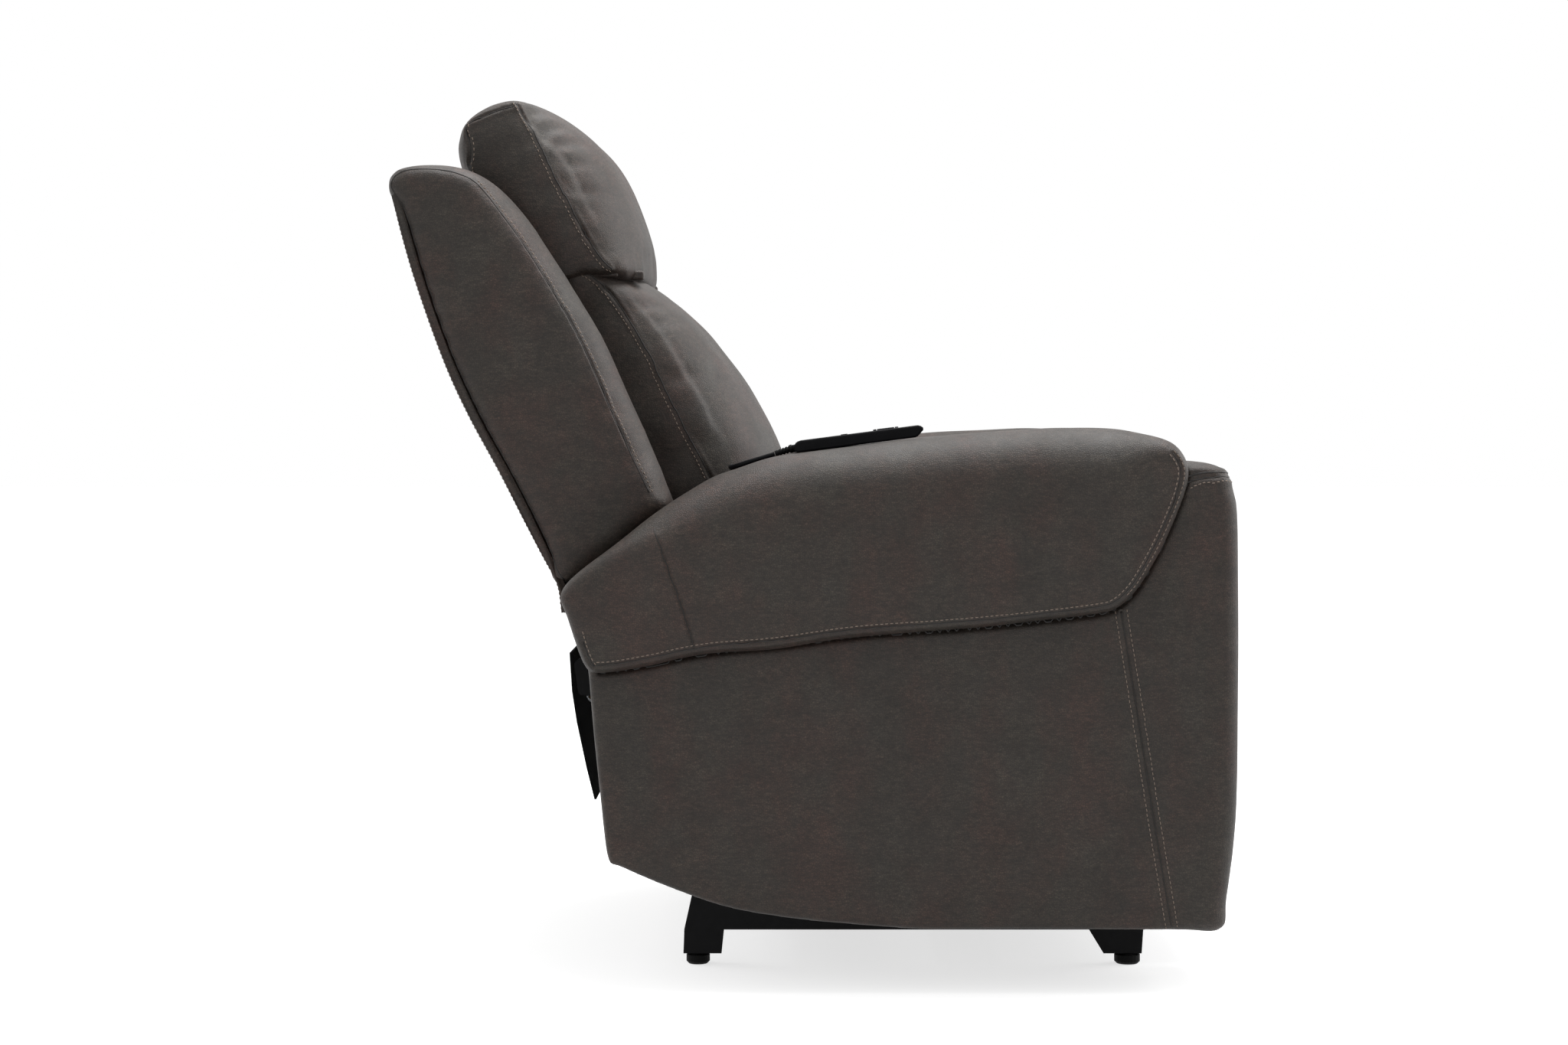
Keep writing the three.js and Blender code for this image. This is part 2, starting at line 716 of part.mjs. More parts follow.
// Puts a shape made with its length along -Y and its base at z = 0 on the arm
const onArm = (geometry) =>
  geometry.rotateX(-HANDSET.slope).translate(HANDSET.x, PLANE - HANDSET.rear, HANDSET.seat);
const handsetUp = (radius, at, low, high, sides) =>
  turned([[0, low], [radius, low], [radius, high], [0, high]], sides).rotateX(Math.PI / 2).translate(0, -at, 0);

function handsetCase() {
  const { length, width, height } = HANDSET;
  const top = [[2, height - 3], [8, height], [length - 5, height], [length, 9]];
  const sideShape = rounded([[2, 0], [0, 5], ...top, [length - 10, 0]], 2, 1);
  const body = slab(sideShape, -width / 2, width / 2, { edge: 2 }).translate(0, -PLANE, 0);
  return cut(
    body,
    handsetUp(CLUSTER.radius + POCKET.margin, CLUSTER.at, POCKET.floor, height + 5, 32),
    handsetUp(HOME.radius + POCKET.margin, HOME.at, POCKET.floor, height + 5, 16),
  );
}
add("handset_case", onArm(handsetCase()), PLASTIC);

function quadrantKey(quarter) {
  const start = (quarter * Math.PI) / 2 + Math.PI / 4;
  const shape = new THREE.Shape();
  const inset = 0.06;
  shape.moveTo(1.2 * Math.cos(start + Math.PI / 4), 1.2 * Math.sin(start + Math.PI / 4));
  shape.absarc(0, 0, CLUSTER.radius, start + inset, start + Math.PI / 2 - inset, false);
  shape.closePath();
  return new THREE.ExtrudeGeometry(shape, {
    depth: KEY.high - KEY.low - 1,
    bevelThickness: 0.5,
    bevelSize: 0.6,
    bevelOffset: -0.6,
    bevelSegments: 1,
    curveSegments: 8,
  }).translate(0, -CLUSTER.at, KEY.low + 0.5);
}
["recline", "upright", "head_up", "head_down"].forEach((name, quarter) =>
  add(`key_${name}`, onArm(quadrantKey(quarter)), KEYCAP));
add("key_home", onArm(handsetUp(HOME.radius, HOME.at, KEY.low, 14.8, 16)), KEYCAP);

const RELIEF = 22;
const RELIEF_TILT = THREE.MathUtils.degToRad(10);
const CORD_LEVEL = 5.8; // height above the handset's base at which the relief leaves it
const RELIEF_STEP = 0.9; // leaves room for the tilted end
const reliefRibs = [5, 9, 13, 17].flatMap((d) => {
  const [rib, groove] = [4.6 - d * 0.05, 3.6 - d * 0.03];
  return [[rib, d - 1], [groove, d], [groove, d + 1], [rib, d + 1.2]];
});
const relief = turned([[0, GAP], [5, GAP], [5, 3], ...reliefRibs, [3.4, RELIEF], [0, RELIEF]], 12);
add("handset_relief", onArm(relief.rotateX(-RELIEF_TILT).translate(0, RELIEF_STEP, CORD_LEVEL)), RUBBER);

const CORD_RADIUS = 3;
const slopeCos = Math.cos(HANDSET.slope);
const slopeSin = Math.sin(HANDSET.slope);
const handsetPoint = (u, h) =>
  [HANDSET.rear + u * slopeCos - h * slopeSin, HANDSET.seat + u * slopeSin + h * slopeCos];
const reliefPoint = (d) =>
  handsetPoint(-RELIEF_STEP - d * Math.cos(RELIEF_TILT), CORD_LEVEL - d * Math.sin(RELIEF_TILT));
const PLUG = { x: -150 - GAP, f: 120, z: 343, length: 26 };
const CORD_ROUTE = [
  [HANDSET.x, ...reliefPoint(RELIEF + GAP)],
  [HANDSET.x, ...reliefPoint(RELIEF + 12)],
  [-386, -42, 620.5],
  [-372, -58, 615.2],
  [-342, -64, 613.8],
  [-305, -64, 613.8],
  [-281, -63, 610.6],
  [-266.6, -62, 596],
  [-266, -62, 570],
  [-266, -62, 480],
  [-266, -62, 390],
  [-264, -62, 355],
  [-254, -62, 338],
  [-240, ...CORD_HOLE],
  [-222, -56, 330],
  [-205, -20, 306],
  [-200, 40, 300],
  [-200, 90, 310],
  [-198, 116, 336],
  [PLUG.x - PLUG.length - 12, PLUG.f, PLUG.z],
  [PLUG.x - PLUG.length - GAP, PLUG.f, PLUG.z],
];
function cord() {
  const points = CORD_ROUTE.map(([x, f, z]) => new THREE.Vector3(x, PLANE - f, z));
  const path = new THREE.CatmullRomCurve3(points, false, "centripetal");
  const section = new THREE.Shape().absarc(0, 0, CORD_RADIUS, 0, 2 * Math.PI, false);
  return new THREE.ExtrudeGeometry(section, { steps: 76, extrudePath: path, curveSegments: 4 });
}
add("handset_cord", cord(), RUBBER);
add(
  "cord_plug",
  turned([[0, 0], [7, 0], [7, 16], [5, 18], [4, PLUG.length], [0, PLUG.length]])
    .rotateZ(Math.PI / 2)
    .translate(PLUG.x, PLANE - PLUG.f, PLUG.z),
  PLASTIC,
);

export default part;
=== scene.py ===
import math
import bmesh
import bpy
import numpy as np
from mathutils import Matrix, Vector, noise
from mathutils.bvhtree import BVHTree
from mathutils.kdtree import KDTree


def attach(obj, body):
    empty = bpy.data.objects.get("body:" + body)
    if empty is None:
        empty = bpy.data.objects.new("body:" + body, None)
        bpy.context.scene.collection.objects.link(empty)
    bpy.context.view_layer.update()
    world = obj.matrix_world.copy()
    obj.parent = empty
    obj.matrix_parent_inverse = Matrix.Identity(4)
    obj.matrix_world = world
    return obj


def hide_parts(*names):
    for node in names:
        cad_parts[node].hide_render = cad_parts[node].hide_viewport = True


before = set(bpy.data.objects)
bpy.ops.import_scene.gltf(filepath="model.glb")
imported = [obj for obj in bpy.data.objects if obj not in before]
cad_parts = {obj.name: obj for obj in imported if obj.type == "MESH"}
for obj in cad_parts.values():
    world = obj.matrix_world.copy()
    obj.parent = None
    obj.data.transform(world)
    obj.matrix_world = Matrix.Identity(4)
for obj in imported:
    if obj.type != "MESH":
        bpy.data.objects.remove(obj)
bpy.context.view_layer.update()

mm = 0.001
plane = 31  # y, in mm, where forward is 0
right, left = -1, 1
sides = ((right, "right"), (left, "left"))
scene = bpy.context.scene


def place(x, f, z):
    # metres from mm: x to the sitter's left, f forward, z up
    return Vector((x, plane - f, z)) * mm


def mirrored(side, span):
    # a span of x that is given for the left side, on this side
    return sorted(side * x for x in span)


def spline(points, per=6, closed=True):
    pts = [np.array(p, float) for p in points]
    n = len(pts)
    out = []
    for i in range(n if closed else n - 1):
        if closed:
            a, b, c, d = pts[i - 1], pts[i], pts[(i + 1) % n], pts[(i + 2) % n]
        else:
            a, b, c, d = pts[max(i - 1, 0)], pts[i], pts[i + 1], pts[min(i + 2, n - 1)]
        for k in range(per):
            t = k / per
            bend = (c - a) * t + (2 * a - 5 * b + 4 * c - d) * t * t + (3 * b - a - 3 * c + d) * t ** 3
            out.append(0.5 * (2 * b + bend))
    if not closed:
        out.append(pts[-1])
    return np.array(out)


def cornered(points, per=3):
    # a closed line of straight runs, with more points between the corners
    ends = points[1:] + points[:1]
    return np.array([p for pair in zip(points, ends) for p in spline(pair, per, closed=False)[:-1]])


def even(points, step):
    # the same line with its points a step apart
    pts = np.array(points, float)
    gaps = np.linalg.norm(np.diff(pts, axis=0), axis=1)
    total = np.concatenate([[0], np.cumsum(gaps)])
    count = max(2, int(round(total[-1] / step)) + 1)
    at = np.linspace(0, total[-1], count)
    return np.stack([np.interp(at, total, pts[:, k]) for k in range(pts.shape[1])], axis=1)


def line3(points, step=4.0):
    return even([tuple(place(*p)) for p in points], step * mm)


def smoothLine(points, x, per=6):
    # a smooth line in a plane across the chair, through points of forward and height
    return line3([(x, f, z) for f, z in spline(points, per, closed=False)])


def inward(loop):
    # unit normals of a closed line, pointing into it
    ahead = np.roll(loop, -1, axis=0) - np.roll(loop, 1, axis=0)
    ahead /= np.linalg.norm(ahead, axis=1)[:, None]
    area = np.sum(loop[:, 0] * np.roll(loop[:, 1], -1) - loop[:, 1] * np.roll(loop[:, 0], -1))
    normal = np.stack([-ahead[:, 1], ahead[:, 0]], axis=1)
    return normal if area > 0 else -normal


def eased(value):
    t = max(0.0, min(1.0, value))
    return t * t * (3 - 2 * t)


def rolled(distance, radius):
    # how far a rounded edge lies inside the corner, at a distance from the face
    if distance >= radius:
        return 0.0
    return radius - math.sqrt(max(0.0, radius ** 2 - (radius - distance) ** 2))


def newObject(name, data):
    obj = bpy.data.objects.new(name, data)
    scene.collection.objects.link(obj)
    return obj


def meshOf(name, bm):
    bmesh.ops.recalc_face_normals(bm, faces=bm.faces)
    mesh = bpy.data.meshes.new(name)
    bm.to_mesh(mesh)
    bm.free()
    return mesh


def bridged(bm, loops):
    # joins closed loops of edges, each to the next, and closes both ends
    for one, other in zip(loops, loops[1:]):
        bmesh.ops.bridge_loops(bm, edges=one + other)
    for end in (loops[0], loops[-1]):
        bmesh.ops.edgeloop_fill(bm, edges=end)


def loft(name, rings):
    # a shape through rings of (x, loop of forward and height)
    bm = bmesh.new()
    loops = []
    for x, loop in rings:
        verts = [bm.verts.new(place(x, f, z)) for f, z in loop]
        loops.append([bm.edges.new(pair) for pair in zip(verts, verts[1:] + verts[:1])])
    bridged(bm, loops)
    return newObject(name, meshOf(name, bm))


def applied(obj):
    deps = bpy.context.evaluated_depsgraph_get()
    mesh = bpy.data.meshes.new_from_object(obj.evaluated_get(deps))
    obj.modifiers.clear()
    old = obj.data
    obj.data = mesh
    bpy.data.meshes.remove(old)
    mesh.name = obj.name
    return obj


def remeshed(obj, voxel):
    mod = obj.modifiers.new("Remesh", "REMESH")
    mod.mode = "VOXEL"
    mod.voxel_size = voxel * mm
    mod.use_smooth_shade = True
    return applied(obj)


def subdivided(obj, levels=1):
    mod = obj.modifiers.new("Subdivision", "SUBSURF")
    mod.levels = mod.render_levels = levels
    return applied(obj)


def carved(obj, cutter):
    mod = obj.modifiers.new("Boolean", "BOOLEAN")
    mod.operation = "DIFFERENCE"
    mod.solver = "EXACT"
    mod.object = cutter
    return applied(obj)


def smoothed(obj, rounds):
    bm = bmesh.new()
    bm.from_mesh(obj.data)
    for _ in range(rounds):
        bmesh.ops.smooth_vert(bm, verts=bm.verts, factor=0.5, use_axis_x=True, use_axis_y=True, use_axis_z=True)
    bm.to_mesh(obj.data)
    bm.free()
    return obj


def coords(mesh):
    flat = np.empty(len(mesh.vertices) * 3)
    mesh.vertices.foreach_get("co", flat)
    return flat.reshape(-1, 3)


def setCoords(obj, points):
    obj.data.vertices.foreach_set("co", points.ravel())
    obj.data.update()


def normals(obj):
    flat = np.empty(len(obj.data.vertices) * 3)
    obj.data.vertices.foreach_get("normal", flat)
    return flat.reshape(-1, 3)


def pushed(obj, rows, push):
    # moves these vertices along their normals, in mm
    pts = coords(obj.data)
    pts[rows] += normals(obj)[rows] * (push * mm)[:, None]
    setCoords(obj, pts)


stuffing = {
    "voxel": 9.0,  # mm between points before the cloth is blown up
    "frames": 12,
    "pressure": 4.0,
    "mass": 0.3,
    "stretch": 15,
    "bend": 0.5,
}


def swollen(obj, cap):
    # blows the piece up as cloth and keeps each point within the cap, in mm
    start = coords(obj.data)
    cloth = obj.modifiers.new("Cloth", "CLOTH")
    settings = cloth.settings
    settings.quality = 4
    settings.mass = stuffing["mass"]
    settings.use_pressure = True
    settings.uniform_pressure_force = stuffing["pressure"]
    settings.effector_weights.gravity = 0
    settings.tension_stiffness = settings.compression_stiffness = stuffing["stretch"]
    settings.bending_stiffness = stuffing["bend"]
    cloth.collision_settings.use_collision = False
    cloth.point_cache.frame_start = 1
    cloth.point_cache.frame_end = stuffing["frames"]
    for step in range(1, stuffing["frames"] + 1):
        scene.frame_set(step)
    blown = bpy.data.meshes.new_from_object(obj.evaluated_get(bpy.context.evaluated_depsgraph_get()))
    move = coords(blown) - start
    bpy.data.meshes.remove(blown)
    obj.modifiers.clear()
    scene.frame_set(1)
    size = np.linalg.norm(move, axis=1)[:, None]
    limit = cap * mm
    setCoords(obj, start + move * (limit * np.tanh(size / limit) / np.maximum(size, 1e-9)))
    return obj


def treeOf(points):
    tree = KDTree(len(points))
    for i, p in enumerate(points):
        tree.insert(Vector(p), i)
    tree.balance()
    return tree


def onSurface(obj, points):
    # the nearest places on the piece, with their normals
    tree = BVHTree.FromObject(obj, bpy.context.evaluated_depsgraph_get())
    found = [tree.find_nearest(Vector(p)) for p in points]
    return np.array([tuple(f[0]) for f in found]), np.array([tuple(f[1]) for f in found])


def nearLine(obj, line, reach):
    # vertices within reach of a line: their numbers, distances in mm, and where along the line they are
    tree = treeOf(line)
    reach *= mm
    rows, gaps, spots = [], [], []
    pts = coords(obj.data)
    near = np.all((pts > line.min(axis=0) - reach) & (pts < line.max(axis=0) + reach), axis=1)
    for i in np.where(near)[0]:
        _, spot, gap = tree.find(Vector(pts[i]))
        if gap < reach:
            rows.append(i)
            gaps.append(gap / mm)
            spots.append(spot)
    return np.array(rows, int), np.array(gaps), np.array(spots, int)


def pressedIn(obj, line, depth, width, roll):
    # a narrow groove, and a soft roll on both sides of it, in mm
    rows, d, _ = nearLine(obj, line, width * 5)
    pushed(obj, rows, roll * np.exp(-((d - width * 2.2) / (width * 1.3)) ** 2) - depth * np.exp(-(d / width) ** 2))


def refined(obj, lines, reach):
    # halves the faces near the lines, so that a narrow groove can be pressed in
    bm = bmesh.new()
    bm.from_mesh(obj.data)
    tree = treeOf(np.concatenate(lines))
    near = {v for v in bm.verts if tree.find(v.co)[2] < reach * mm}
    edges = [e for e in bm.edges if e.verts[0] in near and e.verts[1] in near]
    bmesh.ops.subdivide_edges(bm, edges=edges, cuts=1, use_grid_fill=True)
    bm.to_mesh(obj.data)
    bm.free()


def folded(obj, folds, side, depth, width):
    # short folds, given by both ends, that start at a seam and die away in the stuffing
    for ends in folds:
        a, b = (np.array(place(side * x, f, z)) for x, f, z in ends)
        line, _ = onSurface(obj, a + np.linspace(0, 1, 40)[:, None] * (b - a))
        rows, d, spots = nearLine(obj, line, width * 3.5)
        fade = np.clip((spots - 4) / 9, 0, 1) * (1 - spots / 40) ** 0.8
        lip = 0.3 * np.exp(-((d - width * 1.7) / width) ** 2)
        pushed(obj, rows, depth * fade * (lip - np.exp(-(d / width) ** 2)))


def wrinkled(obj, line, amount, wave, reach, seed):
    # folds that run away from a seam and fade out over the reach, in mm
    rows, gaps, spots = nearLine(obj, line, reach * 2.2)
    step = np.linalg.norm(line[1] - line[0]) / mm
    push = np.zeros(len(rows))
    for k, (d, spot) in enumerate(zip(gaps, spots)):
        fold = noise.noise(Vector((spot * step / wave, seed, d / (reach * 1.6))))
        push[k] = amount * fold * math.exp(-d / reach) * min(1, d / 6) * max(0, 1 - (d / reach / 2.2) ** 2)
    pushed(obj, rows, push)


def rumpled(obj, amount, size, seed):
    # broad, shallow unevenness of stuffed leather, in mm
    bumps = [noise.noise(Vector(p) / (size * mm) + Vector((seed, 0, 0))) for p in coords(obj.data)]
    pushed(obj, slice(None), np.array(bumps) * amount)


def linear(code):
    # sRGB hex to linear
    parts = [int(code[i:i + 2], 16) / 255 for i in (1, 3, 5)]
    return tuple(p / 12.92 if p <= 0.04045 else ((p + 0.055) / 1.055) ** 2.4 for p in parts) + (1.0,)


def times(colour, factor, more=0.0):
    return tuple(min(1, c * factor + more) for c in colour[:3]) + (1.0,)


def newMaterial(name):
    mat = bpy.data.materials.new(name)
    mat.use_nodes = True
    mat.node_tree.nodes.clear()
    return mat


def node(mat, kind, inputs=None, **settings):
    # adds a node with its settings, its values and its links
    made = mat.node_tree.nodes.new(kind)
    for key, value in settings.items():
        setattr(made, key, value)
    for key, value in (inputs or {}).items():
        if isinstance(value, bpy.types.NodeSocket):
            mat.node_tree.links.new(value, made.inputs[key])
        else:
            made.inputs[key].default_value = value
    return made


def cloudy(mat, where, size, detail=3.0, edges=(0.35, 0.65), span=(0.0, 1.0)):
    # soft patches of about this size in mm, as a value within the span
    spots = node(mat, "ShaderNodeTexNoise", {
        "Vector": where, "Scale": 1 / (size * mm), "Detail": detail, "Roughness": 0.6,
    }).outputs["Fac"]
    return node(mat, "ShaderNodeMapRange", {
        "Value": spots, "From Min": edges[0], "From Max": edges[1], "To Min": span[0], "To Max": span[1],
    }).outputs["Result"]


leather = {
    "base": "#413932",
    "warm": "#573931",  # where the dye went in deeper
    "pale": "#4c4840",  # where it took less, or wore
    # painted shade: this near-black darkens the grain's valleys and the seam grooves, and it also tints the darker
    # spots
    "shadeAndSpots": "#14110f",
    "warmShare": 0.5,
    "paleShare": 0.4,
    "valleyShadeShare": 0.6,
    "patch": 90,  # sizes in mm
    "speck": 20,
    "palePatch": 70,
    "cell": 2.4,  # the real grain is nearer 1 mm; coarser, so that it shows
    "crease": 6.67,
    "sheenPatch": 40,
    "pebbles": ((3.2, 0.5), (6, 0.45), (26, 0.35)),  # size of the darker spots, and their share
    "grainDeep": 0.3,
    "creaseDeep": 0.5,
    "roughness": (0.5, 0.62),
    "specular": 0.32,
}


def milledLeather():
    # full-grain cowhide, drum-dyed and then milled soft: a mottled brown with small
    # pebbles, painted shade in the valleys between them, and a low, uneven sheen
    mat = newMaterial("milledLeather")
    where = node(mat, "ShaderNodeTexCoord").outputs["Object"]
    tall = node(mat, "ShaderNodeMapping", {"Vector": where, "Scale": (1.0, 1.25, 0.75)}).outputs["Vector"]
    flat = node(mat, "ShaderNodeMapping", {"Vector": where, "Scale": (0.55, 0.55, 1.4)}).outputs["Vector"]
    patches = cloudy(mat, tall, leather["patch"], 6.0, (0.42, 0.60), (0.0, leather["warmShare"]))
    specks = cloudy(mat, tall, leather["speck"], 4.0, (0.3, 0.7), (0.6, 1.15))
    warm = node(mat, "ShaderNodeMath", {0: patches, 1: specks}, operation="MULTIPLY").outputs[0]
    pale = cloudy(mat, tall, leather["palePatch"], 5.0, (0.46, 0.62), (0.0, leather["paleShare"]))
    cells = node(mat, "ShaderNodeTexVoronoi", {
        "Vector": where, "Scale": 1 / (leather["cell"] * mm), "Randomness": 0.9,
    }, feature="DISTANCE_TO_EDGE").outputs["Distance"]
    pebble = node(mat, "ShaderNodeMapRange", {"Value": cells, "From Max": 0.28}).outputs["Result"]
    # painted shade in the grain's valleys, where the bump is lowest
    shadeAndSpots = node(mat, "ShaderNodeMapRange", {
        "Value": cells, "From Max": 0.28, "To Min": leather["valleyShadeShare"], "To Max": 0.0,
    }).outputs["Result"]
    layers = [(warm, leather["warm"]), (pale, leather["pale"]), (shadeAndSpots, leather["shadeAndSpots"])]
    for size, share in leather["pebbles"]:
        layers.append((cloudy(mat, flat, size, span=(0.0, share)), leather["shadeAndSpots"]))
    colour = linear(leather["base"])
    for share, code in layers:
        colour = node(mat, "ShaderNodeMix", {0: share, 6: colour, 7: linear(code)}, data_type="RGBA").outputs[2]
    pores = node(mat, "ShaderNodeTexNoise", {"Vector": where, "Scale": 1600.0, "Detail": 2.0}).outputs["Fac"]
    grain = node(mat, "ShaderNodeMath", {0: pores, 1: 0.3, 2: pebble}, operation="MULTIPLY_ADD").outputs[0]
    bump = node(mat, "ShaderNodeBump", {
        "Strength": 0.55, "Distance": leather["grainDeep"] * mm, "Height": grain,
    }).outputs["Normal"]
    creases = node(mat, "ShaderNodeTexNoise", {
        "Vector": where, "Scale": 1 / (leather["crease"] * mm), "Detail": 3.0, "Distortion": 0.6,
    }).outputs["Fac"]
    bump = node(mat, "ShaderNodeBump", {
        "Strength": 0.35, "Distance": leather["creaseDeep"] * mm, "Height": creases, "Normal": bump,
    }).outputs["Normal"]
    shader = node(mat, "ShaderNodeBsdfPrincipled", {
        "Base Color": colour,
        "Roughness": cloudy(mat, where, leather["sheenPatch"], 3.0, (0.2, 0.8), leather["roughness"]),
        "Specular IOR Level": leather["specular"],
        "Normal": bump,
    })
    node(mat, "ShaderNodeOutputMaterial", {"Surface": shader.outputs["BSDF"]})
    return mat


def plainMaterial(name, code, roughness, metallic=0.0, specular=0.5, deep=0.0, grit=1.2):
    # one colour with faint clouds and an uneven gloss, and bumps this deep and this large in mm
    mat = newMaterial(name)
    where = node(mat, "ShaderNodeTexCoord").outputs["Object"]
    tint = linear(code)
    clouds = cloudy(mat, where, 18, span=(0.0, 0.5))
    shader = node(mat, "ShaderNodeBsdfPrincipled", {
        "Base Color": node(mat, "ShaderNodeMix", {
            0: clouds, 6: tint, 7: times(tint, 1.35, 0.002),
        }, data_type="RGBA").outputs[2],
        "Roughness": cloudy(mat, where, 9, span=(roughness - 0.06, roughness + 0.06)),
        "Metallic": metallic,
        "Specular IOR Level": specular,
    })
    if deep:
        bumps = node(mat, "ShaderNodeTexNoise", {"Vector": where, "Scale": 1 / (grit * mm), "Detail": 2.0})
        bump = node(mat, "ShaderNodeBump", {"Strength": 0.4, "Distance": deep * mm, "Height": bumps.outputs["Fac"]})
        mat.node_tree.links.new(bump.outputs["Normal"], shader.inputs["Normal"])
    node(mat, "ShaderNodeOutputMaterial", {"Surface": shader.outputs["BSDF"]})
    return mat


def wovenMaterial(name, code, pitch):
    # crossing threads, this far apart in mm, with a painted highlight on their crowns
    mat = newMaterial(name)
    where = node(mat, "ShaderNodeTexCoord").outputs["Object"]
    warp, weft = (
        node(mat, "ShaderNodeTexWave", {
            "Vector": where, "Scale": 1 / (2 * math.pi * pitch * mm), "Distortion": 0.3,
        }, bands_direction=axis).outputs["Fac"]
        for axis in ("X", "Z")
    )
    weave = node(mat, "ShaderNodeMath", {0: warp, 1: weft}, operation="MULTIPLY").outputs[0]
    shader = node(mat, "ShaderNodeBsdfPrincipled", {
        # painted highlight: the colour is lighter where the threads' crowns rise in the bump
        "Base Color": node(mat, "ShaderNodeMix", {
            0: weave, 6: linear(code), 7: times(linear(code), 2.2),
        }, data_type="RGBA").outputs[2],
        "Roughness": 0.9,
        "Specular IOR Level": 0.1,
        "Normal": node(mat, "ShaderNodeBump", {
            "Strength": 0.5, "Distance": 0.2 * mm, "Height": weave,
        }).outputs["Normal"],
    })
    node(mat, "ShaderNodeOutputMaterial", {"Surface": shader.outputs["BSDF"]})
    return mat


def woodMaterial(name, code):
    # grain that runs across the chair
    mat = newMaterial(name)
    where = node(mat, "ShaderNodeTexCoord").outputs["Object"]
    long = node(mat, "ShaderNodeMapping", {"Vector": where, "Scale": (0.6, 6.0, 6.0)}).outputs["Vector"]
    rings = node(mat, "ShaderNodeTexNoise", {
        "Vector": long, "Scale": 12.0, "Detail": 6.0, "Distortion": 1.2,
    }).outputs["Fac"]
    shader = node(mat, "ShaderNodeBsdfPrincipled", {
        "Base Color": node(mat, "ShaderNodeMix", {
            0: rings, 6: linear(code), 7: times(linear(code), 0.62),
        }, data_type="RGBA").outputs[2],
        "Roughness": 0.7,
    })
    node(mat, "ShaderNodeOutputMaterial", {"Surface": shader.outputs["BSDF"]})
    return mat


materials = {
    "milledLeather": milledLeather(),
    # painted shade: a near-black tube at the bottom of each seam groove, where hardly any light reaches
    "paintedSeamShade": plainMaterial("paintedSeamShade", leather["shadeAndSpots"], 0.7),
    # bonded polyester thread: a little lighter than the hide, and satin
    "polyesterThread": plainMaterial("polyesterThread", "#73655a", 0.75),
    # mild steel, powder coated and baked: black, with a fine orange peel and a low gloss
    "powderCoatedSteel": plainMaterial("powderCoatedSteel", "#050506", 0.45, 0.0, 0.1, 0.06, 0.7),
    # steel rod, ground and hard chromed: bright, with a slightly blurred shine
    "chromedSteel": plainMaterial("chromedSteel", "#b8babd", 0.25, 1.0),
    # ABS, moulded in a sparked steel tool: black, matt and finely textured
    "mouldedAbs": plainMaterial("mouldedAbs", "#08080a", 0.5, 0.0, 0.08, 0.05, 0.6),
    # silicone rubber, moulded: a little lighter and smoother than the case round it
    "siliconeRubber": plainMaterial("siliconeRubber", "#15161a", 0.4, specular=0.12),
    # nitrile rubber, moulded: dull black
    "nitrileRubber": plainMaterial("nitrileRubber", "#060606", 0.6, specular=0.1),
    # cambric, a thin plain weave: dull black with fine threads
    "cambric": wovenMaterial("cambric", "#09090a", 1.2),
    # elastic webbing, woven round rubber: dull black with coarse threads
    "elasticWebbing": wovenMaterial("elasticWebbing", "#16161a", 2.4),
    # birch plywood, cut and sanded: pale, with darker grain
    "birchPlywood": woodMaterial("birchPlywood", "#a98a62"),
}

solidFinishes = {
    "powderCoatedSteel": (
        "base_frame", "leg_", "swing_link", "seat_chassis", "back_bracket", "headrest_frame", "drive_frame",
        "lift_link", "cross_link", "guide_link", "footrest_bracket",
    ),
    "chromedSteel": ("recline_rod",),
    "birchPlywood": ("seat_box", "back_frame", "footrest_board"),
    "elasticWebbing": ("seat_webbing",),
    "cambric": ("rear_dust_cover",),
    "nitrileRubber": ("glide_", "handset_relief"),
    "siliconeRubber": ("key_",),
    "mouldedAbs": ("power_inlet", "footrest_motor", "recline_motor", "control_box", "cord_plug", "handset_case"),
}


def dressSolids():
    for key, starts in solidFinishes.items():
        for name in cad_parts:
            if name.startswith(starts):
                target = bpy.data.objects[name]
                target.data.materials.clear()
                target.data.materials.append(materials[key])
    print("frame dressed")


def dress(obj, key):
    obj.data.materials.clear()
    obj.data.materials.append(materials[key])
    for poly in obj.data.polygons:
        poly.use_smooth = True


def fitted(obj, body, key):
    # a piece that rides a body, in one of the materials
    dress(obj, key)
    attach(obj, body)


def padded(obj, body, solid):
    # a stuffed piece in the place of one of the solids
    dress(obj, "milledLeather")
    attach(obj, body)
    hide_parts(solid)


def calmed(ups):
    # directions averaged with their neighbours on the line
    wide = np.pad(ups, ((2, 2), (0, 0)), "edge")
    mean = sum(wide[k:k + len(ups)] for k in range(5))
    return mean / np.linalg.norm(mean, axis=1)[:, None]


def spotsAlong(obj, line, offset=0.0):
    # a matrix for each point of a line laid on the piece and moved sideways by the offset in mm:
    # its x runs along the line, its y sideways and its z out of the surface
    spots, ups = onSurface(obj, line)
    ups = calmed(ups)
    aheads = np.gradient(line, axis=0)
    aheads /= np.linalg.norm(aheads, axis=1)[:, None] + 1e-12
    if offset:
        spots, ups = onSurface(obj, spots + np.cross(ups, aheads) * offset * mm)
        ups = calmed(ups)
    columns = np.stack([aheads, np.cross(ups, aheads), ups, spots], axis=2)
    return [Matrix(rows.tolist() + [[0, 0, 0, 1]]) for rows in columns]


def ringAt(bm, spot, radius, corners):
    # the edges of a circle that faces along the matrix's x
    standing = Matrix.Rotation(math.pi / 2, 4, "Y")
    made = bmesh.ops.create_circle(bm, segments=corners, radius=radius * mm, matrix=spot @ standing)
    return list(dict.fromkeys(edge for vert in made["verts"] for edge in vert.link_edges))


stitch = {
    "pitch": 5.8,  # mm
    "length": 4.0,
    "radius": 0.55,
    # rings of a stitch: how far along it, how high and how thick, as shares of its size
    "rings": ((-1.0, -0.9, 0.35), (-0.7, 0.3, 0.9), (0.0, 0.55, 1.0), (0.7, 0.3, 0.9), (1.0, -0.9, 0.35)),
}


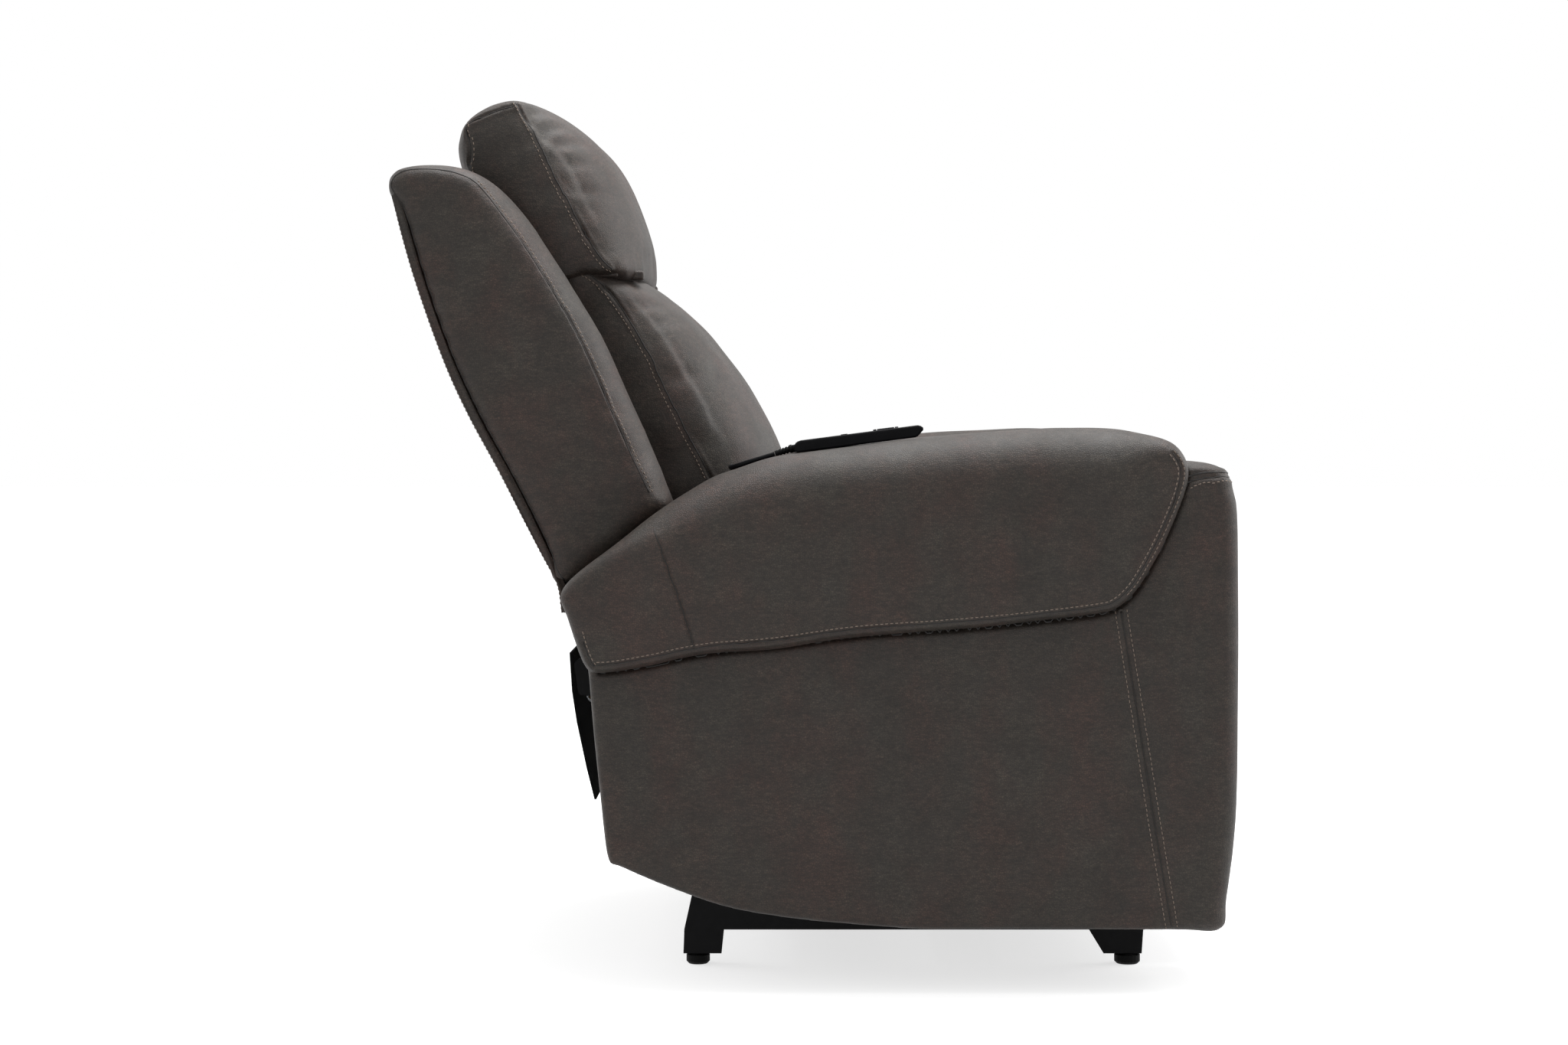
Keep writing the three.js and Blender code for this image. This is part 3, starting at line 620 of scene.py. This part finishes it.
def stitched(name, obj, rows, body):
    # rows of stitches on the piece: each row is a line, and how far it is moved sideways in mm
    bm = bmesh.new()
    rings = []
    for along, high, thick in stitch["rings"]:
        spot = Matrix.Translation(Vector((along * stitch["length"] / 2, 0, high * stitch["radius"])) * mm)
        rings.append(ringAt(bm, spot, thick * stitch["radius"], 5))
    bridged(bm, rings)
    single = meshOf("stitch", bm)
    bm = bmesh.new()
    for line, offset in rows:
        for spot in spotsAlong(obj, even(line, stitch["pitch"] * mm), offset):
            copy = single.copy()
            copy.transform(spot)
            bm.from_mesh(copy)
            bpy.data.meshes.remove(copy)
    bpy.data.meshes.remove(single)
    fitted(newObject(name, meshOf(name, bm)), body, "polyesterThread")


def seamed(name, obj, lines, body, depth, width, roll, radius=0.7):
    # a pressed groove for each line, with a near-black tube of painted shade at its bottom
    lines = [even(line, mm) for line in lines]
    for reach in (15, 6):
        refined(obj, lines, reach)
    for line in lines:
        pressedIn(obj, line, depth, width, roll)
    flatter = Matrix.Diagonal((1, 1.3, 1, 1))
    bm = bmesh.new()
    for line in lines:
        spots = spotsAlong(obj, even(line, 5 * mm))
        bridged(bm, [ringAt(bm, spot @ flatter, radius, 6) for spot in spots])
    fitted(newObject(name, meshOf(name, bm)), body, "paintedSeamShade")


def pillow(name, shape, at=0.0):
    # a stuffed piece around this x: its outline at both sides, blended into the fuller one in its middle.
    # The higher the power, the wider the full part; the nearer turn is to 1, the sharper the side's edge
    side, full = spline(shape["side"]), spline(shape["full"])
    half = shape["half"]
    rings = []
    for x in half * np.sin(np.linspace(-math.pi / 2, math.pi / 2, 25)):
        share = max(0, 1 - (abs(x) / half) ** shape["power"]) ** shape["turn"]
        rings.append((at + x, side + (full - side) * share))
    obj = smoothed(swollen(remeshed(loft(name, rings), stuffing["voxel"]), shape["swell"]), 2)
    subdivided(obj)
    pts = coords(obj.data)
    centre = side.mean(axis=0)
    spread = np.abs(side - centre).max(axis=0)
    off = np.hypot((plane - pts[:, 1] / mm - centre[0]) / spread[0], (pts[:, 2] / mm - centre[1]) / spread[1])
    out = np.sign(pts[:, 0] - at * mm) * shape["bulge"] * mm * np.clip(1 - off ** 2, 0, 1)
    pts[:, 0] += np.where(np.abs(normals(obj)[:, 0]) > 0.8, out, 0)
    setCoords(obj, pts)
    return smoothed(obj, 2)


# all in mm: outlines are (forward, height); a rumple is how high, how broad and its seed; a wrinkle is how high,
# how far apart and how far it reaches; a fold is how deep and how wide; a seam is how deep, how wide and how high
# the leather rolls beside it
seatShape = {
    "side": [
        (-118, 432), (-118, 500), (-100, 516), (0, 520), (250, 520), (440, 520), (492, 508), (508, 478), (506, 446),
        (494, 431),
    ],
    "full": [
        (-118, 431), (-118, 510), (-100, 530), (0, 540), (250, 544), (440, 540), (502, 526), (522, 488), (518, 448),
        (500, 431),
    ],
    "half": 257,
    "power": 8,
    "turn": 0.5,
    "bulge": 6.0,
    "swell": 4,
    "rumple": (2.0, 120, 1),
}


def seatCushion():
    seat = pillow("seatCushion", seatShape)
    rumpled(seat, *seatShape["rumple"])
    padded(seat, "seat", "seat_cushion")
    print("seat cushion made")


lumbarShape = {
    "side": [
        (-279, 850), (-246, 857), (-222, 836), (-199, 806), (-180, 774), (-164, 746), (-149, 712), (-136, 686),
        (-122, 657), (-105, 626), (-90, 598), (-82, 560), (-142, 552), (-210, 690),
    ],
    "full": [
        (-279, 852), (-212, 856), (-167, 836), (-136, 815), (-104, 786), (-81, 756), (-56, 722), (-36, 688),
        (-18, 656), (-4, 622), (4, 580), (-16, 550), (-142, 550), (-210, 690),
    ],
    "half": 252,
    "power": 3.2,
    "turn": 0.5,
    "bulge": 6.0,
    "swell": 4,
    "rumple": (3.0, 90, 2),
    "wrinkle": (3.5, 30, 38),
    "fold": (2.4, 9.0),
    "seam": (2.0, 2.0, 0.9),
    "stitchGap": 6.0,
    "folds": (
        ((248, -222, 846), (196, -168, 846)), ((248, -196, 808), (196, -142, 812)),
        ((248, -184, 782), (190, -120, 796)), ((248, -150, 714), (200, -106, 722)),
    ),
}


def lumbarCushion():
    lumbar = pillow("lumbarCushion", lumbarShape)
    front, half = lumbarShape["side"][1:11], lumbarShape["half"]
    for side in (right, left):
        wrinkled(lumbar, smoothLine(front, side * (half - 2)), *lumbarShape["wrinkle"], 3 + side)
        folded(lumbar, lumbarShape["folds"], side, *lumbarShape["fold"])
    rumpled(lumbar, *lumbarShape["rumple"])
    seams = [smoothLine(front, side * (half - 1)) for side in (right, left)]
    seamed("lumbarSeamShade", lumbar, seams, "back", *lumbarShape["seam"])
    rows = [(line, lumbarShape["stitchGap"] * side) for side, line in zip((right, left), seams)]
    stitched("lumbarStitches", lumbar, rows, "back")
    padded(lumbar, "back", "lumbar_cushion")
    print("lumbar cushion made")


headShape = {
    "side": [
        (-300, 850), (-386, 962), (-400, 1000), (-396, 1037), (-366, 1053), (-331, 1065), (-319, 1040), (-307, 1016),
        (-297, 994), (-286, 972), (-270, 942), (-248, 905), (-227, 873), (-207, 852), (-240, 856),
    ],
    "full": [
        (-300, 850), (-388, 963), (-416, 1000), (-407, 1038), (-376, 1066), (-335, 1074), (-301, 1066), (-268, 1047),
        (-236, 1019), (-213, 989), (-197, 958), (-183, 920), (-172, 878), (-174, 842), (-236, 842),
    ],
    "half": 262,
    "power": 3.0,
    "turn": 0.5,
    "bulge": 6.0,
    "swell": 4,
    "rumple": (3.0, 100, 4),
    "wrinkle": (3.5, 26, 36),
    "fold": (2.8, 8.0),
    "seam": (2.0, 2.0, 0.9),
    "stitchGap": 6.0,
    "rearStitchGap": 5.0,
    "rearSeam": [(-392, 966), (-390, 983), (-386, 1004), (-390, 1020), (-397, 1037)],
    "topSeam": [(-397, 1037), (-364, 1049), (-334, 1058)],
    "folds": (
        ((256, -322, 1044), (206, -292, 1058)), ((256, -312, 1024), (196, -270, 1034)),
        ((256, -303, 1004), (188, -252, 1012)), ((256, -292, 982), (196, -240, 984)),
        ((256, -274, 948), (206, -228, 950)),
    ),
}


def headCushion():
    head = pillow("headCushion", headShape)
    front, half = headShape["side"][5:14], headShape["half"]
    for side in (right, left):
        wrinkled(head, smoothLine(front, side * (half - 4)), *headShape["wrinkle"], 7 + side)
        folded(head, headShape["folds"], side, *headShape["fold"])
    rumpled(head, *headShape["rumple"])
    fronts, rears, tops = (
        [smoothLine(line, side * (half - 2)) for side in (right, left)]
        for line in (front, headShape["rearSeam"], headShape["topSeam"])
    )
    seamed("headSeamShade", head, fronts + rears + tops, "head", *headShape["seam"])
    rows = [(line, headShape["stitchGap"] * side) for side, line in zip((right, left), fronts)]
    rows += [(line, headShape["rearStitchGap"] * side) for side, line in zip((right, left), rears)]
    stitched("headStitches", head, rows, "head")
    padded(head, "head", "head_cushion")
    print("head cushion made")


footShape = {
    "side": [(493.3, 108), (493.3, 412), (512, 416), (526, 406), (530, 260), (526, 112), (512, 104)],
    "full": [(493.3, 98), (493.3, 420), (515, 425), (533, 412), (539, 260), (533, 106), (515, 95)],
    "half": 260,
    "power": 8,
    "turn": 0.5,
    "bulge": 2.0,
    "swell": 2,
}


def footrestPad():
    padded(pillow("footrestPad", footShape), "footrest", "footrest_pad")
    print("footrest pad made")


wingShape = {
    "side": [
        (-459, 920), (-471, 940), (-474, 955), (-467, 968), (-448, 974), (-427, 975), (-408, 974), (-388, 969),
        (-366, 957), (-338, 920), (-306, 875), (-268, 812), (-233, 744), (-188, 643), (-160, 585), (-153, 562),
        (-262, 474), (-286, 516), (-328, 600), (-370, 677), (-405, 755), (-437, 847),
    ],
    "full": [
        (-459, 920), (-471, 940), (-476, 957), (-469, 971), (-449, 978), (-428, 980), (-406, 980), (-380, 974),
        (-350, 956), (-316, 919), (-281, 870), (-241, 808), (-204, 743), (-163, 648), (-140, 585), (-140, 555),
        (-264, 470), (-286, 514), (-328, 599), (-370, 676), (-405, 755), (-437, 847),
    ],
    "x": 330,
    "half": 55,
    "power": 2.2,
    "turn": 0.9,
    "bulge": 4.0,
    "swell": 2,
    "rumple": (2.2, 110),
    "wrinkle": (2.5, 30, 26),
    "seam": (1.5, 1.5, 0.5),
    "stitchGap": -5.5,
}


def wings():
    for side, word in sides:
        wing = pillow(f"wing_{word}_cover", wingShape, side * wingShape["x"])
        outer = side * (wingShape["x"] + wingShape["half"] - 1)
        edge = smoothLine(wingShape["side"][-6:] + wingShape["side"][:15], outer)
        front = smoothLine(wingShape["side"][8:15], outer)
        wrinkled(wing, front, *wingShape["wrinkle"], 11 + side)
        rumpled(wing, *wingShape["rumple"], 6 + side)
        seamed(f"wingSeamShade_{word}", wing, [edge], "back", *wingShape["seam"])
        stitched(f"wingStitches_{word}", wing, [(front, wingShape["stitchGap"] * side)], "back")
        padded(wing, "back", f"wing_{word}")
    print("wings made")


def slab(name, shape, side, rounds, spare=0.0):
    # a thick upholstered slab with its edges rolled in by rounds, and wider by the spare at both faces, in mm
    loop = spline(shape["outline"])
    into = inward(loop)
    inner, outer = shape["inner"] - spare, shape["outer"] + spare
    steps = np.linspace(0, 1, 13) ** 1.6 * (outer - inner) / 2
    rings = []
    for x in np.concatenate([inner + steps, outer - steps[-2::-1]]):
        pull = np.array([rounds(x, f, z) for f, z in loop])
        rings.append((side * x, loop + into * pull[:, None]))
    return loft(name, rings)


armBox = {
    "outline": [
        (-228, 420), (-190, 500), (-140, 540), (-94, 566), (0, 598), (94, 612), (187, 620), (375, 624), (455, 621),
        (488, 621), (507, 617), (521, 609), (524, 600), (527, 590), (532, 565), (534, 500), (534, 340), (531, 200),
        (520, 109), (511, 72), (439, 75), (183, 75), (91, 80), (0, 89), (-69, 101), (-137, 125), (-192, 148),
        (-206, 156), (-215, 228), (-227, 356),
    ],
    "inner": 276,
    "outer": 470,
    "roll": 10,  # radius of the edges, in mm
    "frontRoll": 26,
    "innerRoll": 12,
    "rumple": (1.5, 130),
    # the fourth number of the seam and of the tuck is the radius of its near-black tube of painted shade
    "seam": (1.4, 1.6, 0.5, 0.6),
    "cap": (2.2, 3.0, 0.8),
    "tuck": (5.0, 4.0, 0.0, 1.2),  # where the box goes in under the pad
    "tuckLine": (0.8, 462, -222),  # how far inside the pad's edge, and from where to where
    "stitchGap": 6.8,
    "capGap": 6.5,
    "frontSeam": ((393, 447), (412, 330), (432, 200), (452, 78)),
    "capSeam": (
        (470, 440, 592), (470, 456, 599), (470, 470, 604), (470, 487, 609), (467, 505, 611), (456, 519, 610),
        (430, 527, 609), (340, 529, 609), (290, 528, 609),
    ),
}
armPad = {
    "outline": [
        (-256, 474), (-200, 522), (-140, 569), (-94, 598), (-56, 612), (0, 628.5), (94, 641), (187, 652), (281, 658),
        (375, 660), (420, 655), (449, 645), (463, 630), (469, 612), (466, 590), (457, 564), (443, 531), (428, 502),
        (410, 472), (389, 452), (364, 444), (273, 433), (182, 425), (91, 419), (0, 407), (-91, 398), (-155, 385),
        (-209, 377), (-231, 384), (-250, 439),
    ],
    "inner": 268,
    "outer": 500,
    "lowRoll": 14,  # radius of the lower edge, and of the top at the rear, in the middle and at the front
    "topRolls": (36, 64, 16),
    "innerRolls": (18, 32),
    "rumple": (2.4, 100),
    "splitWrinkle": (1.8, 34, 24),
    "edgeWrinkle": (1.6, 60, 34),
    # the seam's fourth number is the radius of its near-black tube of painted shade
    "seam": (1.6, 2.2, 0.7, 0.6),
    # how far inside the edge each line lies, and from where to where it runs
    "wrinkleLine": (14, 470, -205),
    "seamLines": ((9, 462, -228), (9, -229, -250)),
    "stitchLines": ((13.5, 450, -222), (5, 463, 395), (13, -232, -252)),
    "split": ((-154, 553), (-135, 500), (-118, 452), (-104, 407)),
}
armVoxel = 4.5  # mm
padLoop = spline(armPad["outline"])


def boxRound(x, f, z):
    # tighter along the side than at the front
    front = eased((f - 440) / 70)
    edge = armBox["roll"] + (armBox["frontRoll"] - armBox["roll"]) * front
    return max(rolled(armBox["outer"] - x, edge), rolled(x - armBox["inner"], armBox["innerRoll"]))


def padRound(x, f, z):
    # a small roll along the lower edge and the front, and a broad one along the top
    rear, middle, front = armPad["topRolls"]
    top = rear + (middle - rear) * eased((f + 190) / 110) + (front - middle) * eased((f - 370) / 100)
    height = eased((z - 520 - 0.12 * f) / 70)
    edge = armPad["lowRoll"] + (top - armPad["lowRoll"]) * height
    inner = armPad["innerRolls"][0] + (armPad["innerRolls"][1] - armPad["innerRolls"][0]) * height
    return max(rolled(armPad["outer"] - x, edge), rolled(x - armPad["inner"], inner))


def border(side, inset, start, end, x=armPad["outer"]):
    # a line that far inside the pad's edge, from its top over the front and back below, between two distances forward
    loop = padLoop + inward(padLoop) * inset
    top = int(np.argmax(padLoop[:, 0] + padLoop[:, 1]))
    run = np.roll(np.arange(len(loop)), -top)
    ends = [next(i for i in run if abs(padLoop[i, 0] - f) < 9 and padLoop[i, 1] < 640) for f in (start, end)]
    a, b = (int(np.where(run == e)[0][0]) for e in ends)
    return line3([(side * x, f, z) for f, z in loop[run[a:b + 1]]])


def armBoxCover(side, word):
    box = slab(f"arm_box_{word}_cover", armBox, side, boxRound)
    return smoothed(remeshed(box, armVoxel), 3)


def armPadCover(side, word):
    # hollow where it lies on the box
    pad = slab(f"arm_pad_{word}_cover", armPad, side, padRound)
    core = slab("armCutter", armBox, side, boxRound, 0.6)
    carved(remeshed(pad, armVoxel), remeshed(core, armVoxel))
    bpy.data.objects.remove(core)
    return smoothed(pad, 3)


def sewArmBox(box, side, word):
    outer, gap = armBox["outer"], armBox["stitchGap"]
    seam = line3([(side * outer, f, z) for f, z in armBox["frontSeam"]])
    cap = [line3([(side * x, f, z - drop) for x, f, z in armBox["capSeam"]]) for drop in (0, armBox["capGap"])]
    rumpled(box, *armBox["rumple"], 21 + side)
    seamed(f"armBoxSeamShade_{word}", box, [seam], "seat", *armBox["seam"])
    seamed(f"armCapSeamShade_{word}", box, cap, "seat", *armBox["cap"])
    # painted shade: a near-black tube where the box goes in under the pad's edge
    seamed(f"armTuckShade_{word}", box, [border(side, *armBox["tuckLine"], outer)], "seat", *armBox["tuck"])
    rows = [(seam, gap), (seam, -gap), (cap[1], armBox["capGap"] * side)]
    stitched(f"armBoxStitches_{word}", box, rows, "seat")
    padded(box, "seat", f"arm_box_{word}")


def sewArmPad(pad, side, word):
    split = line3([(side * armPad["outer"], f, z) for f, z in spline(armPad["split"], 5, closed=False)])
    rumpled(pad, *armPad["rumple"], 31 + side)
    wrinkled(pad, split, *armPad["splitWrinkle"], 41 + side)
    wrinkled(pad, border(side, *armPad["wrinkleLine"]), *armPad["edgeWrinkle"], 45 + side)
    seams = [border(side, *line) for line in armPad["seamLines"]] + [split]
    seamed(f"armPadSeamShade_{word}", pad, seams, "seat", *armPad["seam"])
    rows = [(border(side, *line), 0) for line in armPad["stitchLines"]]
    stitched(f"armPadStitches_{word}", pad, rows, "seat")
    padded(pad, "seat", f"arm_pad_{word}")


def arms():
    for side, word in sides:
        box, pad = armBoxCover(side, word), armPadCover(side, word)
        sewArmBox(box, side, word)
        sewArmPad(pad, side, word)
    print("arms made")


backShape = {
    "line": [
        (-263, 440), (-268, 474), (-288, 514), (-331, 600), (-373, 677), (-408, 755), (-440, 847), (-466, 940),
    ],
    "half": 380,
    "behind": 3.6,  # mm from the line to its outer face at the edges, and how much more in the middle
    "fill": 5.0,
    "front": 6,
    "slope": 150,
    "rumple": (1.6, 140, 51),
    "stitches": 366,
}


def backPanel():
    line = spline(backShape["line"], 8, closed=False)
    half = backShape["half"]
    ahead = np.gradient(line, axis=0)
    ahead /= np.linalg.norm(ahead, axis=1)[:, None]
    out = np.stack([-ahead[:, 1], ahead[:, 0]], axis=1)
    t = np.linspace(0, 1, len(line))
    ends = np.minimum(1, np.minimum(t, 1 - t) * 14)
    rings = []
    for x in np.linspace(-half, half, 77):
        fill = np.clip(ends * min(1, (half - abs(x)) / backShape["slope"]), 0, 1)
        rise = backShape["behind"] + backShape["fill"] * np.sqrt(fill)
        rings.append((x, np.concatenate([line + out * rise[:, None], (line - out * backShape["front"])[::-1]])))
    panel = loft("backPanel", rings)
    rumpled(panel, *backShape["rumple"])
    padded(panel, "back", "back_panel")
    rows = [(line3([(side * backShape["stitches"], f, z) for f, z in line]), 0) for side in (right, left)]
    stitched("backPanelStitches", panel, rows, "back")
    print("back panel made")


def sheet(name, line, span, thick, key="milledLeather"):
    # a thin sheet on the back, below a line and from one x to the other
    low = cornered(line + [(f - 0.1, z - thick) for f, z in reversed(line)])
    fitted(loft(name, [(x, low) for x in np.linspace(*span, 5)]), "back", key)


def bevelledBlock(name, x, f, z, edge, body, key="milledLeather", slotName="leather"):
    # a block with rounded edges; x, f and z are its lowest and highest values
    bm = bmesh.new()
    bmesh.ops.create_cube(bm, size=mm)
    bmesh.ops.scale(bm, vec=(x[1] - x[0], f[1] - f[0], z[1] - z[0]), verts=bm.verts)
    bmesh.ops.bevel(bm, geom=bm.edges[:], offset=edge * mm, segments=3, profile=0.5, affect="EDGES", material=-1)
    bmesh.ops.translate(bm, vec=place(sum(x) / 2, sum(f) / 2, sum(z) / 2), verts=bm.verts)
    fitted(newObject(name, meshOf(name, bm)), body, key)


insideBack = {
    "front": [(-147, 550), (-187, 467)],
    "low": [(-146, 553), (-212.5, 692), (-281, 845), (-305, 869)],
    "high": [(-311, 870), (-369, 927), (-424, 928), (-461, 944)],
    "thick": 2.0,
    "top": (-276, 276),
    "strip": (230, 276),
    "flank": (274.8, 276),
    "flankDeep": 40,
    "lining": (-274, 274),
}
hingeCovers = (
    ("hingeTab", (200.3, 213.7), (-207.5, -175.5), (846.8, 858), "back"),
    ("earCover", (209.5, 247), (-303, -206), (848.5, 856.5), "back"),
    ("headLugCover", (186, 199.9), (-196, -175.5), (846.8, 858), "head"),
)


def insideBackCovers():
    # leather behind the cushions, between the wings, and a tab over each ear of the headrest's hinge
    low, thick = insideBack["low"], insideBack["thick"]
    sheet("insideBackTop", insideBack["high"], insideBack["top"], thick)
    for side, word in sides:
        sheet(f"insideBackStrip_{word}", low, mirrored(side, insideBack["strip"]), thick)
        sheet(f"insideBackFlank_{word}", low, mirrored(side, insideBack["flank"]), insideBack["flankDeep"])
        for name, x, f, z, body in hingeCovers:
            bevelledBlock(f"{name}_{word}", mirrored(side, x), f, z, 3, body)
    sheet("insideBackLining", insideBack["front"], insideBack["lining"], thick, "cambric")
    print("inside of the back covered")


footrestCover = {"x": (-257, 257), "f": (477.5, 494.5), "z": (108.4, 416.6), "edge": 2.5}
seatApron = {"x": (-262.6, 262.6), "front": (473, 476.9), "rear": (-166.4, -162), "z": (371, 431), "edge": 0.8}


def boardCovers():
    # leather round the footrest's board and over the front rail of the seat, black cloth over the rear rail
    x, z, edge = seatApron["x"], seatApron["z"], seatApron["edge"]
    bevelledBlock("footrestCover", *footrestCover.values(), "footrest")
    bevelledBlock("seatApron", x, seatApron["front"], z, edge, "seat")
    bevelledBlock("seatRearCloth", x, seatApron["rear"], z, edge, "seat", "cambric", "black_cloth")
    print("boards covered")


cord = {
    "radius": 3,  # mm
    "route": (
        (-390, -11.1, 630.1), (-390, -20.4, 627.1), (-386, -42, 620.5), (-372, -58, 615.2), (-342, -64, 613.8),
        (-305, -64, 613.8), (-281, -63, 610.6), (-266.6, -62, 596), (-266, -62, 570), (-266, -62, 480),
        (-266, -62, 390), (-264, -62, 355), (-254, -62, 338), (-240, -62, 335), (-222, -56, 330), (-205, -20, 306),
        (-200, 40, 300), (-200, 90, 310), (-198, 116, 336), (-188.3, 120, 343), (-176.6, 120, 343),
    ),
}


def centripetal(points, per):
    # a smooth curve through the points that never loops between them
    pts = [np.array(place(*p)) for p in points]
    pts = [2 * pts[0] - pts[1]] + pts + [2 * pts[-1] - pts[-2]]
    out = []
    for a, b, c, d in zip(pts, pts[1:], pts[2:], pts[3:]):
        t = np.cumsum([0] + [np.linalg.norm(q - p) ** 0.5 for p, q in ((a, b), (b, c), (c, d))])
        for u in np.linspace(t[1], t[2], per, endpoint=False):
            ab = ((t[1] - u) * a + (u - t[0]) * b) / (t[1] - t[0])
            bc = ((t[2] - u) * b + (u - t[1]) * c) / (t[2] - t[1])
            cd = ((t[3] - u) * c + (u - t[2]) * d) / (t[3] - t[2])
            abc = ((t[2] - u) * ab + (u - t[0]) * bc) / (t[2] - t[0])
            bcd = ((t[3] - u) * bc + (u - t[1]) * cd) / (t[3] - t[1])
            out.append(((t[2] - u) * abc + (u - t[1]) * bcd) / (t[2] - t[1]))
    out.append(pts[-2])
    return np.array(out)


def handsetCord():
    line = centripetal(cord["route"], 6)
    curve = bpy.data.curves.new("handsetCord", "CURVE")
    curve.dimensions = "3D"
    curve.bevel_depth = cord["radius"] * mm
    curve.bevel_resolution = 3
    curve.use_fill_caps = True
    run = curve.splines.new("POLY")
    run.points.add(len(line) - 1)
    for spot, point in zip(line, run.points):
        point.co = (*spot, 1)
    curve.materials.append(materials["mouldedAbs"])
    made = newObject("handsetCord", curve)
    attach(made, "seat")
    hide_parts("handset_cord")
    print("cord made")


collar = {"radius": 4.6, "start": (-390, 7, 635.8), "end": (-390, 22, 638.2), "corners": 24}


def handsetCollar():
    # where the cord's relief enters the handset
    start, end = place(*collar["start"]), place(*collar["end"])
    axis = end - start
    radius = collar["radius"] * mm
    bm = bmesh.new()
    bmesh.ops.create_cone(
        bm, cap_ends=True, segments=collar["corners"], radius1=radius, radius2=radius, depth=axis.length)
    bmesh.ops.rotate(bm, matrix=axis.to_track_quat("Z", "Y").to_matrix(), verts=bm.verts)
    bmesh.ops.translate(bm, vec=(start + end) / 2, verts=bm.verts)
    fitted(newObject("handsetCollar", meshOf("handsetCollar", bm)), "seat", "mouldedAbs")
    print("collar made")


view = {"lens": 69.5, "shift": -0.0597, "spot": (-4.0, plane * mm, 0.66), "turn": (math.pi / 2, 0, -math.pi / 2)}
floor = {"half": 30, "z": -0.0005, "colour": "#b3b3b3", "glow": 0.68}  # metres
lamps = (
    ("top", (0.2, -0.3, 3.4), (0, 0, 0.5), 2.4, 150),  # where it is, what it faces, its size and its watts
    ("front", (1.2, -3.6, 2.2), (0, 0, 0.6), 2.2, 100),
    ("rear", (1.0, 3.2, 2.2), (0, 0, 0.6), 1.8, 30),
)


def paperFloor():
    # a roll of matt white paper, evenly lit wherever it is looked at
    mat = newMaterial("mattPaper")
    rays = node(mat, "ShaderNodeLightPath").outputs
    seen = node(mat, "ShaderNodeMath", {
        0: rays["Is Camera Ray"], 1: rays["Is Glossy Ray"],
    }, operation="ADD").outputs[0]
    seen = node(mat, "ShaderNodeMath", {0: seen, 1: rays["Is Transmission Ray"]}, operation="ADD").outputs[0]
    shader = node(mat, "ShaderNodeBsdfPrincipled", {
        "Base Color": linear(floor["colour"]),
        "Roughness": 0.9,
        "Specular IOR Level": 0.1,
        "Emission Color": (1, 1, 1, 1),
        "Emission Strength": node(mat, "ShaderNodeMath", {0: seen, 1: floor["glow"]}, operation="MULTIPLY").outputs[0],
    })
    node(mat, "ShaderNodeOutputMaterial", {"Surface": shader.outputs["BSDF"]})
    bm = bmesh.new()
    low = Matrix.Translation((0, 0, floor["z"]))
    bmesh.ops.create_grid(bm, x_segments=1, y_segments=1, size=floor["half"], matrix=low)
    mesh = meshOf("floor", bm)
    mesh.materials.append(mat)
    newObject("floor", mesh)


def cameraAndLights():
    camera = bpy.data.cameras.new("camera")
    camera.lens = view["lens"]
    camera.shift_y = view["shift"]
    scene.camera = newObject("camera", camera)
    scene.camera.location = view["spot"]
    scene.camera.rotation_euler = view["turn"]
    paperFloor()
    world = bpy.data.worlds.new("world")
    world.use_nodes = True
    sky = world.node_tree.nodes["Background"].inputs
    sky["Color"].default_value = (1, 1, 1, 1)
    sky["Strength"].default_value = 1.0
    scene.world = world
    for name, spot, aim, size, power in lamps:
        light = bpy.data.lights.new(name, "AREA")
        light.size = size
        light.energy = power
        lamp = newObject(name, light)
        lamp.location = spot
        lamp.rotation_euler = (Vector(aim) - Vector(spot)).to_track_quat("-Z", "Y").to_euler()
    scene.view_settings.view_transform = "Standard"
    print("camera, floor and lights made")


dressSolids()
cameraAndLights()
handsetCord()
handsetCollar()
seatCushion()
lumbarCushion()
headCushion()
footrestPad()
wings()
arms()
backPanel()
insideBackCovers()
boardCovers()
